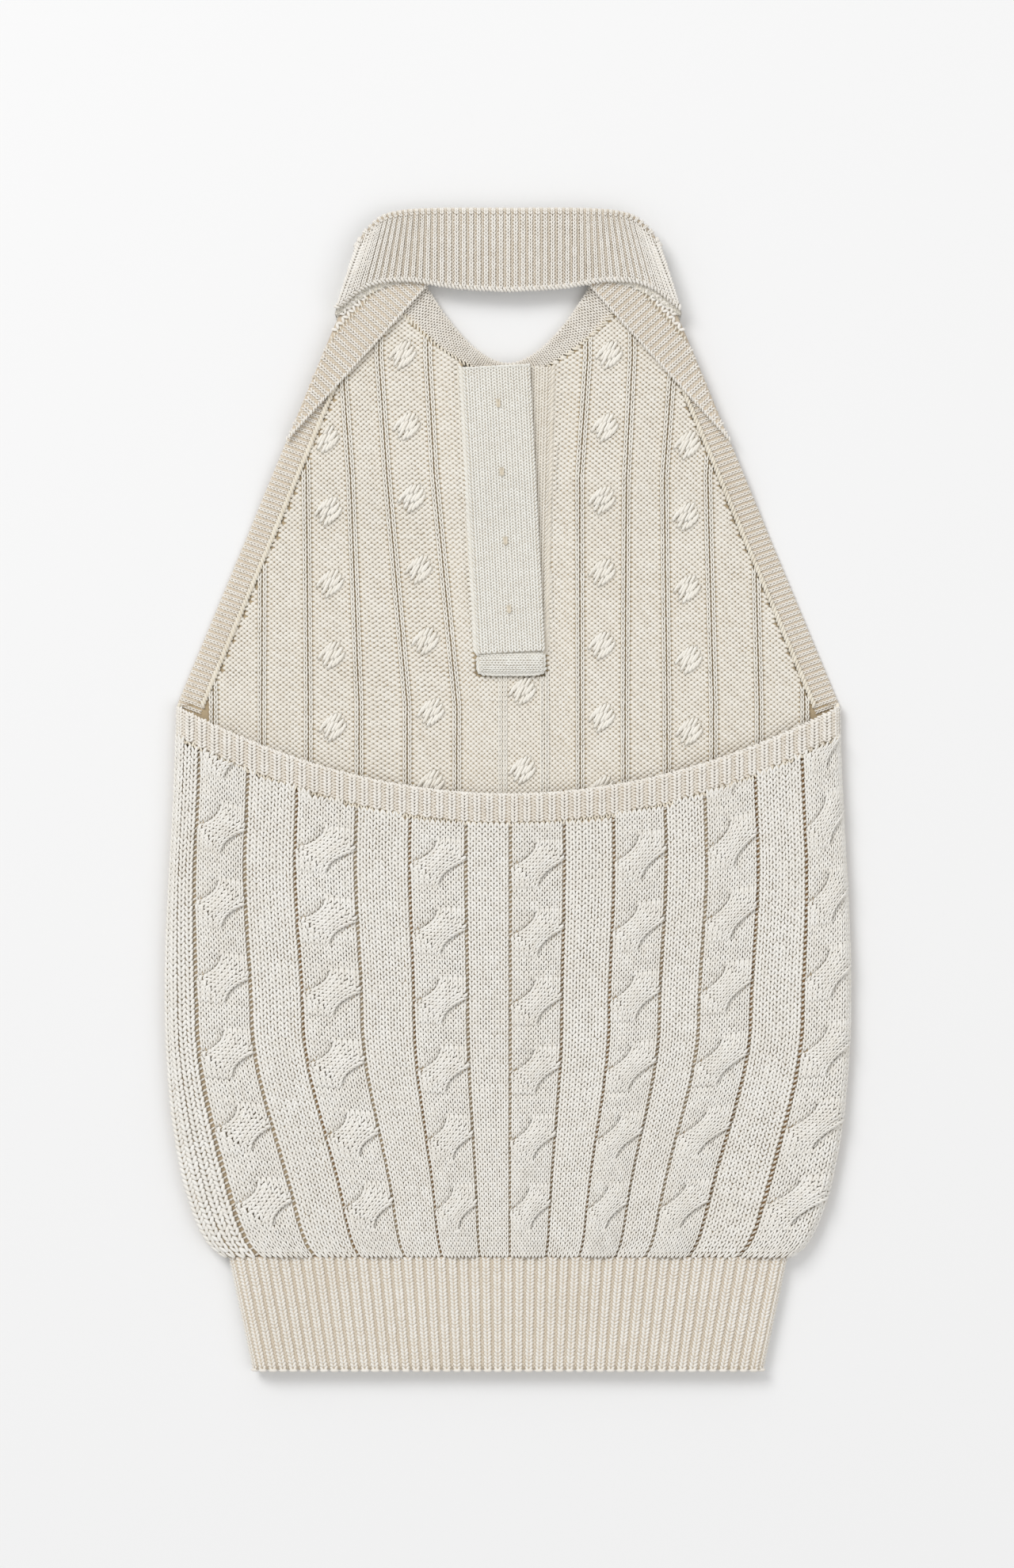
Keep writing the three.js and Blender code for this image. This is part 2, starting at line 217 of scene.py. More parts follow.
collar_fold = [
    (0, fold_y),
    (collar_fold_width / 2, fold_y - 1),
    (collar_half - 24, fold_y - 10),
    (collar_half - 10.5, fold_y - 33),
    (collar_half, neck_y - 11),
]
fall_edge = [
    (0, neck_y),
    (31, neck_y + 2),
    (collar_fold_width / 2, neck_y + 6),
    (collar_half - 21, neck_y + 3),
    (collar_half - 3, neck_y - 10),
]


def travelled(path):
    """Distance along a path at each of its points."""
    return np.concatenate([[0], np.cumsum(np.linalg.norm(np.diff(path, axis=0), axis=1))])


def along_path(at, reach, path):
    """The points of a path at which its distances, reach, come to at."""
    path = np.asarray(path, float)
    return np.stack([np.interp(at, reach, path[:, i]) for i in range(path.shape[1])], -1)


def meshed(s, up):
    return np.meshgrid(s, up, indexing="ij")


def mirrored(points, s):
    p = spline(points, np.abs(s))
    return np.stack([np.sign(s) * p[..., 0], p[..., 1]], -1)


def on_band(across, up, turn):
    """A point of a placket band that leans about the placket's foot."""
    x = placket_foot_x + across * math.cos(turn) - up * math.sin(turn)
    y = placket_foot_y + across * math.sin(turn) + up * math.cos(turn)
    return x, y


def rolled_side(along, half, flat, edge=middle, radius=side_roll):
    """x and z of fabric that lies at the height flat and curves to the height edge at the garment's side.

    along is measured from the centre over the fabric's surface.
    """
    straight = half - radius
    turn = np.clip((np.abs(along) - straight) / radius, 0, math.pi / 2)
    x = np.where(turn > 0, straight + radius * np.sin(turn), np.abs(along))
    return np.sign(along) * x, edge + (flat - edge) * np.cos(turn)


roll_length = side_roll * (math.pi / 2 - 1)  # what the curve adds to the fabric's half width


# ---- Materials ----

def tint(red, green, blue):
    """A colour given as it looks on a display, from 0 to 255."""
    def linear(c):
        c /= 255
        return c / 12.92 if c <= 0.04045 else ((c + 0.055) / 1.055) ** 2.4

    return (linear(red), linear(green), linear(blue), 1)


def node(tree, kind, at, **settings):
    made = tree.nodes.new(kind)
    made.location = at
    for key, value in settings.items():
        setattr(made, key, value)
    return made


def fill(made, values):
    """Set inputs of a node by name."""
    for name, value in values.items():
        made.inputs[name].default_value = value


def arithmetic(tree, operation, at, first, second=None, third=None):
    made = node(tree, "ShaderNodeMath", at, operation=operation)
    for socket, value in zip(made.inputs, (first, second, third)):
        if value is None:
            continue
        if isinstance(value, (int, float)):
            socket.default_value = value
        else:
            tree.links.new(value, socket)
    return made.outputs[0]


def cotton_colour_group():
    """Uneven dye and lint: patches over the cloth, and a tone for each stitch, which holds random unevenness and the
    painted shade of sunk stitches and sheet tops.
    """
    tree = bpy.data.node_groups.new("Cotton colour", "ShaderNodeTree")
    face = tree.interface
    link = tree.links.new
    for name in ("Yarn", "Shaded yarn"):
        face.new_socket(name, in_out="INPUT", socket_type="NodeSocketColor")
    for name in ("Patchiness", "Fleck", "Stitch tone"):
        face.new_socket(name, in_out="INPUT", socket_type="NodeSocketFloat")
    face.new_socket("Colour", in_out="OUTPUT", socket_type="NodeSocketColor")
    face.new_socket("Fibre height", in_out="OUTPUT", socket_type="NodeSocketFloat")
    given = node(tree, "NodeGroupInput", (-900, 0))
    result = node(tree, "NodeGroupOutput", (700, 0))
    place = node(tree, "ShaderNodeTexCoord", (-900, -260))
    patches = node(tree, "ShaderNodeTexNoise", (-650, -120))
    fill(patches, {"Scale": 26, "Detail": 2})
    fibres = node(tree, "ShaderNodeTexNoise", (-650, -360))
    fill(fibres, {"Scale": 1500, "Detail": 3, "Roughness": 0.7})
    link(place.outputs["Object"], patches.inputs["Vector"])
    link(place.outputs["Object"], fibres.inputs["Vector"])
    patch = arithmetic(tree, "MULTIPLY_ADD", (-400, -100), patches.outputs["Fac"], given.outputs["Patchiness"], 0)
    fleck = arithmetic(tree, "MULTIPLY_ADD", (-400, -300), fibres.outputs["Fac"], given.outputs["Fleck"], patch)
    shade = arithmetic(tree, "ADD", (-180, -180), fleck, given.outputs["Stitch tone"])
    blend = node(tree, "ShaderNodeMix", (200, 60), data_type="RGBA")
    clamp = node(tree, "ShaderNodeClamp", (0, -180))
    link(shade, clamp.inputs["Value"])
    link(clamp.outputs[0], blend.inputs["Factor"])
    link(given.outputs["Yarn"], blend.inputs["A"])
    link(given.outputs["Shaded yarn"], blend.inputs["B"])
    link(blend.outputs["Result"], result.inputs["Colour"])
    link(fibres.outputs["Fac"], result.inputs["Fibre height"])
    return tree


def knit_relief_group():
    """Height of plain knitting where it has no modelled stitches: rows of V stitches, from object coordinates."""
    tree = bpy.data.node_groups.new("Knitted relief", "ShaderNodeTree")
    face = tree.interface
    link = tree.links.new
    for name in ("Wale width", "Course height"):
        face.new_socket(name, in_out="INPUT", socket_type="NodeSocketFloat")
    face.new_socket("Height", in_out="OUTPUT", socket_type="NodeSocketFloat")
    given = node(tree, "NodeGroupInput", (-1100, 0))
    result = node(tree, "NodeGroupOutput", (700, 0))
    place = node(tree, "ShaderNodeTexCoord", (-1100, -200))
    split = node(tree, "ShaderNodeSeparateXYZ", (-900, -200))
    link(place.outputs["Object"], split.inputs[0])
    across = arithmetic(tree, "DIVIDE", (-700, 0), split.outputs["X"], given.outputs["Wale width"])
    up = arithmetic(tree, "DIVIDE", (-700, -200), split.outputs["Y"], given.outputs["Course height"])
    leg = arithmetic(tree, "PINGPONG", (-500, 0), across, 0.5)
    lean = arithmetic(tree, "MULTIPLY_ADD", (-300, -150), leg, 1.3, up)
    loops = arithmetic(tree, "MULTIPLY", (-120, -150), lean, 2 * math.pi)
    wave = arithmetic(tree, "SINE", (60, -150), loops)
    ridge = arithmetic(tree, "MULTIPLY", (-300, 60), leg, 4 * math.pi)
    round_leg = arithmetic(tree, "COSINE", (-120, 60), ridge)
    body = arithmetic(tree, "MULTIPLY_ADD", (240, 20), round_leg, -0.35, 0.5)
    height = arithmetic(tree, "MULTIPLY_ADD", (420, -20), wave, 0.25, body)
    link(height, result.inputs["Height"])
    return tree


cotton_colour = cotton_colour_group()
knit_relief = knit_relief_group()


def cotton(name, yarn_colour, shaded, patchiness=0.2, relief=None, tone=True):
    """Matte cotton. relief is (wale width, course height) in metres for fabric without modelled stitches."""
    material = bpy.data.materials.new(name)
    material.use_nodes = True
    tree = material.node_tree
    link = tree.links.new
    surface = tree.nodes["Principled BSDF"]
    fill(surface, {"Roughness": 0.92, "Sheen Weight": 0.15, "Sheen Roughness": 0.6, "Specular IOR Level": 0.2})
    colour = node(tree, "ShaderNodeGroup", (-500, 200), node_tree=cotton_colour)
    fill(colour, {"Yarn": yarn_colour, "Shaded yarn": shaded, "Patchiness": patchiness, "Fleck": 0.12})
    if tone:
        stitch_tone = node(tree, "ShaderNodeAttribute", (-760, 120), attribute_name="tone")
        link(stitch_tone.outputs["Fac"], colour.inputs["Stitch tone"])
    link(colour.outputs["Colour"], surface.inputs["Base Color"])
    bump = node(tree, "ShaderNodeBump", (-250, -200))
    fill(bump, {"Strength": 0.35, "Distance": 0.0002})
    link(colour.outputs["Fibre height"], bump.inputs["Height"])
    if relief:
        rows = node(tree, "ShaderNodeGroup", (-500, -300), node_tree=knit_relief)
        fill(rows, {"Wale width": relief[0], "Course height": relief[1]})
        loops = node(tree, "ShaderNodeBump", (-60, -260))
        fill(loops, {"Strength": 0.9, "Distance": 0.0012})
        link(rows.outputs["Height"], loops.inputs["Height"])
        link(bump.outputs["Normal"], loops.inputs["Normal"])
        link(loops.outputs["Normal"], surface.inputs["Normal"])
    else:
        link(bump.outputs["Normal"], surface.inputs["Normal"])
    return material


# Each yarn's second colour is what uneven dye, and the painted shade of sunk stitches, blend towards.
cable_yarn = cotton("Ecru cable yarn", tint(243, 241, 236), tint(206, 194, 172))
rib_yarn = cotton("Ecru rib yarn", tint(243, 240, 234), tint(212, 199, 178))
inside_yarn = cotton("Warm ecru purl yarn", tint(240, 236, 227), tint(203, 188, 162))
placket_yarn = cotton("Greyish ecru placket yarn", tint(241, 240, 234), tint(212, 203, 186))
seam_yarn = cotton("Linking yarn", tint(239, 233, 219), tint(200, 182, 152))
# The collar's cloth: yarn colour underneath, and on the top face the darker colour as painted shade between the rib
# stitches.
collar_cloth_and_gap_shade = cotton("Collar rib behind its stitches, painted shade between them", tint(238, 233, 223), tint(206, 191, 169),
                      patchiness=0.1, relief=(0.0041, 0.002))
# Painted shade: a dark brown for strands laid deep in the cable ladders, standing in for the shadow in their hollows.
ladder_painted_shade = cotton("Painted shade deep in the ladders", tint(168, 132, 92), tint(132, 98, 62), tone=False)
# The sheets under the stitches are a darker tan than the yarn: painted shade in the gaps between the stitches.
cable_gap_shade = cotton("Painted shade between the cable stitches", tint(188, 170, 142), tint(164, 142, 112), tone=False)
rib_gap_shade = cotton("Painted shade between the rib stitches", tint(208, 194, 174), tint(186, 168, 142), tone=False)
purl_gap_shade = cotton("Painted shade between the purl stitches", tint(186, 168, 138), tint(160, 140, 108), tone=False)
placket_gap_shade = cotton("Painted shade between the placket stitches", tint(212, 203, 188), tint(188, 176, 156), tone=False)
plain_rib = cotton("Ecru rib seen at a slant", tint(236, 231, 219), tint(214, 203, 182),
                   relief=(0.0041, 0.002), tone=False)


def button_material():
    """Cream shirt button: soft gloss with faint shell-like clouds."""
    material = bpy.data.materials.new("Cream button")
    material.use_nodes = True
    tree = material.node_tree
    link = tree.links.new
    surface = tree.nodes["Principled BSDF"]
    fill(surface, {"Roughness": 0.3, "Coat Weight": 0.25})
    place = node(tree, "ShaderNodeTexCoord", (-900, 0))
    clouds = node(tree, "ShaderNodeTexNoise", (-700, 0))
    fill(clouds, {"Scale": 260, "Distortion": 1.4})
    blend = node(tree, "ShaderNodeMix", (-300, 80), data_type="RGBA")
    blend.inputs["A"].default_value = tint(243, 236, 219)
    blend.inputs["B"].default_value = tint(222, 210, 184)
    link(place.outputs["Object"], clouds.inputs["Vector"])
    link(clouds.outputs["Fac"], blend.inputs["Factor"])
    link(blend.outputs["Result"], surface.inputs["Base Color"])
    return material


button_cream = button_material()


# ---- Meshes ----

in_scene = bpy.context.scene.collection.objects.link


def in_frame(points):
    """Garment millimetres to metres in the model's frame."""
    return (np.asarray(points, float) - (0, fold_y / 2, 0)) * 0.001


def flat_map(mesh):
    """A map seen from above: the faces that look up on one half, and those that look down on the other."""
    count = len(mesh.vertices)
    places = np.empty(count * 3)
    mesh.vertices.foreach_get("co", places)
    places = places.reshape(-1, 3)[:, :2]
    low, high = places.min(0), places.max(0)
    side = max(high - low) * 1.02
    corners = np.empty(len(mesh.loops), int)
    mesh.loops.foreach_get("vertex_index", corners)
    looks = np.empty(len(mesh.polygons) * 3)
    mesh.polygons.foreach_get("normal", looks)
    sizes = np.empty(len(mesh.polygons), int)
    mesh.polygons.foreach_get("loop_total", sizes)
    down = np.repeat(looks.reshape(-1, 3)[:, 2] < -0.2, sizes)
    spread = (places[corners] - low) / side * (0.49, 0.98) + (0.005, 0.01)
    spread[:, 0] += np.where(down, 0.5, 0)
    layer = mesh.uv_layers.new(name="OFBake")
    layer.data.foreach_set("uv", spread.astype(np.float32).ravel())


def piece(name, mesh, body, material=None):
    if material:
        mesh.materials.clear()
        mesh.materials.append(material)
    flat_map(mesh)
    made = bpy.data.objects.new(name, mesh)
    in_scene(made)
    if body:
        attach(made, body)
    return made


def slab(name, top, bottom, body, material, shaded_top=False):
    """A closed sheet of fabric between two grids of points."""
    rows, columns = top.shape[:2]
    count = rows * columns
    vertices = in_frame(np.concatenate([top.reshape(-1, 3), bottom.reshape(-1, 3)]))
    index = np.arange(count).reshape(rows, columns)
    a, b, c, d = index[:-1, :-1], index[1:, :-1], index[1:, 1:], index[:-1, 1:]
    upper = np.stack([a, b, c, d], -1).reshape(-1, 4)
    lower = np.stack([d, c, b, a], -1).reshape(-1, 4) + count
    rim = np.concatenate([index[0, :], index[1:, -1], index[-1, -2::-1], index[-2:0:-1, 0]])
    after = np.roll(rim, -1)
    sides = np.stack([rim, after, after + count, rim + count], -1)
    # turn every face round if the grid runs the other way
    p = vertices[upper[len(upper) // 2]]
    if np.cross(p[1] - p[0], p[2] - p[0])[2] < 0:
        upper, lower = upper[:, ::-1], lower[:, ::-1]
    else:
        sides = sides[:, ::-1]
    mesh = bpy.data.meshes.new(name)
    mesh.from_pydata(vertices.tolist(), [], np.concatenate([upper, lower, sides[:, ::-1]]).tolist())
    mesh.validate()
    mesh.shade_smooth()
    # painted shade: the top face takes the material's shaded colour, the lower face keeps the yarn colour
    if shaded_top:
        layer = mesh.attributes.new("tone", "FLOAT", "POINT")
        layer.data.foreach_set("value", np.repeat([1.0, 0.0], count).astype(np.float32))
    return piece(name, mesh, body, material)


# ---- Stitches ----

KNIT, PURL, STRAND = 0, 1, 2


def stitch_tree():
    """Puts a knit stitch, a purl stitch or a length of yarn at each point, turned and sized by its attributes."""
    tree = bpy.data.node_groups.new("Stitches over a fabric", "GeometryNodeTree")
    tree.is_modifier = True
    face = tree.interface
    face.new_socket("Places", in_out="INPUT", socket_type="NodeSocketGeometry")
    for name, value in (
        ("Leg lean", math.radians(15)),
        ("Leg width", 0.25),
        ("Leg length", 0.74),
        ("Purl width", 0.54),
        ("Purl height", 0.42),
        ("Unevenness", 0.09),
    ):
        face.new_socket(name, in_out="INPUT", socket_type="NodeSocketFloat").default_value = value
    for name, value in (("Sides", 5), ("Rings", 4), ("Seed", 7)):
        face.new_socket(name, in_out="INPUT", socket_type="NodeSocketInt").default_value = value
    face.new_socket("Yarn", in_out="INPUT", socket_type="NodeSocketMaterial")
    face.new_socket("Fabric", in_out="OUTPUT", socket_type="NodeSocketGeometry")
    link = tree.links.new
    given = node(tree, "NodeGroupInput", (-1600, 0))
    result = node(tree, "NodeGroupOutput", (1200, 0))

    def number(operation, at, first, second):
        return arithmetic(tree, operation, at, first, second)

    def vector(at, x=0.0, y=0.0, z=0.0):
        made = node(tree, "ShaderNodeCombineXYZ", at)
        for socket, value in zip(made.inputs, (x, y, z)):
            if isinstance(value, (int, float)):
                socket.default_value = value
            else:
                link(value, socket)
        return made.outputs[0]

    ball = node(tree, "GeometryNodeMeshUVSphere", (-1300, 200))
    ball.inputs["Radius"].default_value = 1
    link(given.outputs["Sides"], ball.inputs["Segments"])
    link(given.outputs["Rings"], ball.inputs["Rings"])
    lying = node(tree, "GeometryNodeTransform", (-1100, 200))  # its poles along Y
    lying.inputs["Rotation"].default_value = (math.pi / 2, 0, 0)
    link(ball.outputs["Mesh"], lying.inputs["Geometry"])

    def grain(at, size, turn, place):
        """The ball made a grain of yarn, turned about Z and put in its place in the unit stitch."""
        sized = node(tree, "GeometryNodeTransform", at)
        link(lying.outputs[0], sized.inputs["Geometry"])
        link(size, sized.inputs["Scale"])
        turned = node(tree, "GeometryNodeTransform", (at[0] + 200, at[1]))
        link(sized.outputs[0], turned.inputs["Geometry"])
        link(turn, turned.inputs["Rotation"])
        turned.inputs["Translation"].default_value = place
        return turned.outputs[0]

    def joined(at, *parts):
        made = node(tree, "GeometryNodeJoinGeometry", at)
        for part in parts:
            link(part, made.inputs[0])
        return made.outputs[0]

    leg = vector((-900, 500), given.outputs["Leg width"], given.outputs["Leg length"], 0.5)
    out_left = vector((-900, 380), 0, 0, given.outputs["Leg lean"])
    out_right = vector((-900, 260), 0, 0, number("MULTIPLY", (-1100, 380), given.outputs["Leg lean"], -1.0))
    knit_stitch = joined(
        (-200, 420),
        grain((-650, 500), leg, out_left, (-0.25, 0, 0)),
        grain((-650, 300), leg, out_right, (0.25, 0, 0)),
    )
    bump = vector((-900, 40), given.outputs["Purl width"], given.outputs["Purl height"], 0.5)
    flat_a = vector((-900, -80), 0, 0, math.radians(9))
    flat_b = vector((-900, -200), 0, 0, math.radians(-9))
    purl_stitch = joined(
        (-200, 0),
        grain((-650, 60), bump, flat_a, (-0.25, 0.25, 0)),
        grain((-650, -140), bump, flat_b, (0.25, -0.25, 0)),
    )
    strand = grain((-650, -340), vector((-900, -340), 0.5, 0.6, 0.5), vector((-900, -460)), (0, 0, 0))

    def attribute(name, kind, at):
        made = node(tree, "GeometryNodeInputNamedAttribute", at, data_type=kind)
        made.inputs["Name"].default_value = name
        return made.outputs["Attribute"]

    facing = node(tree, "FunctionNodeAxesToRotation", (-200, -500), primary_axis="Z", secondary_axis="Y")
    link(attribute("facing", "FLOAT_VECTOR", (-450, -500)), facing.inputs["Primary Axis"])
    link(attribute("along", "FLOAT_VECTOR", (-450, -640)), facing.inputs["Secondary Axis"])
    uneven = node(tree, "FunctionNodeRandomValue", (-200, -760), data_type="FLOAT_VECTOR")
    low = number("SUBTRACT", (-450, -780), 1.0, given.outputs["Unevenness"])
    high = number("ADD", (-450, -900), 1.0, given.outputs["Unevenness"])
    link(vector((-330, -780), low, low, low), uneven.inputs[0])
    link(vector((-330, -900), high, high, high), uneven.inputs[1])
    link(given.outputs["Seed"], uneven.inputs["Seed"])
    size = node(tree, "ShaderNodeVectorMath", (0, -700), operation="MULTIPLY")
    link(attribute("size", "FLOAT_VECTOR", (-200, -1000)), size.inputs[0])
    link(uneven.outputs[0], size.inputs[1])
    kind = attribute("kind", "INT", (-200, 220))
    sets = []
    for row, (which, stitch) in enumerate(((KNIT, knit_stitch), (PURL, purl_stitch), (STRAND, strand))):
        chosen = node(tree, "FunctionNodeCompare", (0, 300 - 220 * row), data_type="INT", operation="EQUAL")
        link(kind, chosen.inputs[2])
        chosen.inputs[3].default_value = which
        placed = node(tree, "GeometryNodeInstanceOnPoints", (250, 300 - 220 * row))
        link(given.outputs["Places"], placed.inputs["Points"])
        link(chosen.outputs[0], placed.inputs["Selection"])
        link(stitch, placed.inputs["Instance"])
        link(facing.outputs[0], placed.inputs["Rotation"])
        link(size.outputs[0], placed.inputs["Scale"])
        sets.append(placed.outputs[0])
    real = node(tree, "GeometryNodeRealizeInstances", (650, 0))
    link(joined((480, 0), *sets), real.inputs["Geometry"])
    shade = node(tree, "GeometryNodeSetShadeSmooth", (820, 0))
    link(real.outputs[0], shade.inputs["Geometry"])
    painted = node(tree, "GeometryNodeSetMaterial", (1000, 0))
    link(shade.outputs[0], painted.inputs["Geometry"])
    link(given.outputs["Yarn"], painted.inputs["Material"])
    link(painted.outputs[0], result.inputs["Fabric"])
    return tree


stitches_over_fabric = stitch_tree()


def unit(v):
    return v / np.maximum(np.linalg.norm(v, axis=-1, keepdims=True), 1e-9)


class Stitches:
    """Places for stitches, gathered fabric by fabric before they are sewn."""

    def __init__(self):
        self.parts = []

    def add(self, place, along, facing, size, kind, tone, keep=None):
        shape = place.shape[:-1]
        along, facing, size = (np.broadcast_to(a, place.shape) for a in (along, facing, size))
        kind = np.broadcast_to(kind, shape).astype(int)
        # a stitch's tone is random unevenness on top of the given tone, which is painted shade on sunk stitches
        tone = np.broadcast_to(tone, shape) + random.uniform(-0.08, 0.08, shape)
        keep = np.ones(shape, bool) if keep is None else keep
        self.parts.append(tuple(a[keep] for a in (place, along, facing, size, kind, tone)))

    def strand(self, place, along, size, tone, facing=UP):
        """One length of yarn by itself."""
        self.add(np.array([place], float), along, facing, size, STRAND, tone)

    def lattice(self, grid, kind=KNIT, keep=None, depth=yarn, tone=0.0, grow=(1, 1), up=UP):
        """One stitch for each point of a grid of wales by courses, fitted to its neighbours."""
        along = np.gradient(grid, axis=1)
        across = np.gradient(grid, axis=0) if grid.shape[0] > 1 else np.cross(along, up)
        facing = unit(np.cross(across, along))
        facing *= np.sign((facing * np.asarray(up, float)).sum(-1, keepdims=True) + 1e-9)
        height = np.linalg.norm(along, axis=-1)
        way = unit(along)
        sideways = across - (across * way).sum(-1, keepdims=True) * way
        width = np.linalg.norm(sideways, axis=-1) if grid.shape[0] > 1 else np.full(height.shape, wale)
        size = np.stack([width * grow[0], height * grow[1], np.broadcast_to(depth, width.shape)], -1)
        self.add(grid, way, facing, size, kind, tone, keep)

    def rib(self, surface, rows, count, knits, purls, within=0.998, chosen=lambda s: True, plump=1.0, dip=0.0):
        """Knit and purl wales in turn over a surface of (s, row, depth).

        knits and purls are (width as a share of a rib, depth below the crests, tone); the purls' higher tone is
        painted shade in the sunk gutters.
        """
        half_rib = 1 / count
        s = rib_centres(count)
        for kind, centre, (spread, sink, tone) in ((KNIT, s, knits), (PURL, s + half_rib, purls)):
            centre = centre[(np.abs(centre) < within) & chosen(centre)][:, None]
            left = surface(centre - spread * half_rib, rows, sink)
            right = surface(centre + spread * half_rib, rows, sink)
            grid = (left + right) / 2
            grid[..., 2] -= dip
            along, across = np.gradient(grid, axis=1), right - left
            size = np.stack([
                np.linalg.norm(across, axis=-1) * plump,
                np.linalg.norm(along, axis=-1),
                np.full(grid.shape[:2], yarn * plump),
            ], -1)
            self.add(grid, unit(along), unit(np.cross(across, along)), size, kind, tone)

    def rope(self, path, thickness, spacing, slant=35, up=UP, tone=0.0):
        """Slanted lengths of yarn along a path, as in a rolled or overcast seam."""
        reach = travelled(path)
        count = max(2, int(round(reach[-1] / spacing)))
        place = along_path(np.linspace(0, reach[-1], count), reach, path)
        way = unit(np.gradient(place, axis=0))
        facing = unit(np.asarray(up, float) - (way * up).sum(-1, keepdims=True) * way)
        turn = math.radians(slant)
        along = way * math.cos(turn) + np.cross(way, facing) * math.sin(turn)
        self.add(place, along, facing, (thickness * 0.62, thickness * 1.25, thickness), STRAND, tone)

    def sew(self, name, body, slot, material, most=3000, seed=7, **sizes):
        """The stitches as plain meshes, each with no more than most stitches."""
        place, along, facing, size, kind, tone = (np.concatenate(p) for p in zip(*self.parts))
        made = []
        pieces_needed = max(1, math.ceil(len(place) / most))
        for number, chosen in enumerate(np.array_split(np.arange(len(place)), pieces_needed)):
            label = name if pieces_needed == 1 else f"{name}_{number + 1}"
            points = bpy.data.meshes.new(label + "_places")
            points.vertices.add(len(chosen))
            points.vertices.foreach_set("co", in_frame(place[chosen]).astype(np.float32).ravel())
            for key, values in (("along", along), ("facing", facing), ("size", size * 0.001)):
                layer = points.attributes.new(key, "FLOAT_VECTOR", "POINT")
                layer.data.foreach_set("vector", values[chosen].astype(np.float32).ravel())
            layer = points.attributes.new("kind", "INT", "POINT")
            layer.data.foreach_set("value", kind[chosen].astype(np.int32))
            layer = points.attributes.new("tone", "FLOAT", "POINT")
            layer.data.foreach_set("value", tone[chosen].astype(np.float32))
            holder = bpy.data.objects.new(label + "_holder", points)
            in_scene(holder)
            knitting = holder.modifiers.new("Stitches", "NODES")
            knitting.node_group = stitches_over_fabric
            wanted = {"Yarn": material, "Seed": seed + number, **sizes}
            for item in stitches_over_fabric.interface.items_tree:
                if item.in_out == "INPUT" and item.name in wanted:
                    knitting[item.identifier] = wanted[item.name]
            baked = bpy.data.meshes.new_from_object(
                holder.evaluated_get(bpy.context.evaluated_depsgraph_get())
            )
            holder.modifiers.remove(knitting)
            bpy.data.objects.remove(holder)
            bpy.data.meshes.remove(points)
            baked.name = label
            for key in ("along", "facing", "size", "kind"):
                if key in baked.attributes:
                    baked.attributes.remove(baked.attributes[key])
            made.append(piece(label, baked, body))
        return made


def rib_centres(count):
    return (np.arange(count) + 0.5) / count * 2 - 1


def grid_of(x, y, z):
    x, y, z = np.broadcast_arrays(x, y, z)
    return np.stack([x, y, z], -1).astype(float)


# ---- Back ----

# Left and right purl ladders of each cable, as fractions of the half width.
back_cables = [
    (-0.912, -0.768),
    (-0.622, -0.446),
    (-0.288, -0.124),
    (0.006, 0.163),
    (0.308, 0.460),
    (0.578, 0.728),
    (0.868, 1.002),
]


def back_surface(s, level, rise=0.0):
    """A point of the back: s across the fabric, and level up its centre line. Rows curve up towards the sides."""
    y = hem_height + (level - hem_height) * (1 + 0.13 * s**2)
    gather = 0.15 * (1 - smooth(y, 88, 200)) + 0.06 * (1 - smooth(y, 200, 300))
    s = s * (1 - gather * (1 - s**4))
    half = outline(y) - 0.6
    x, z = rolled_side(s * (half + roll_length), half, back_top - yarn * 0.55 + rise)
    return grid_of(x, y, z)


def back_kept(grid):
    x, y = grid[..., 0], grid[..., 1]
    return (y > hem_height + 0.8) & (y < scoop_top(x) - scoop_band_height - 0.6)


def cable_away(level):
    """Millimetres up the back from the nearest crossing."""
    nearest = np.clip(np.round((level - cable_first) / cable_period), 0, cable_crossings - 1)
    return level - cable_first - nearest * cable_period


def swung(wale_at, away):
    """How far a wale of the over strand has swung across; the outer wales swing later than the inner ones."""
    u = np.clip((away - (0.5 - wale_at) * crossing_stagger) / crossing_height + 0.5, 0, 1)
    return (1 - wale_at) * (1 - (1 - u) ** 2.1) + wale_at * u**2.1


def evenly(lines, spacing):
    """Lines of points laid out again at an even spacing along each."""
    reach = np.array([travelled(line) for line in lines])
    count = int(round(reach[:, -1].mean() / spacing))
    at = (np.arange(count) + 0.5) / count
    return np.stack([along_path(at * r[-1], r, line) for r, line in zip(reach, lines)])


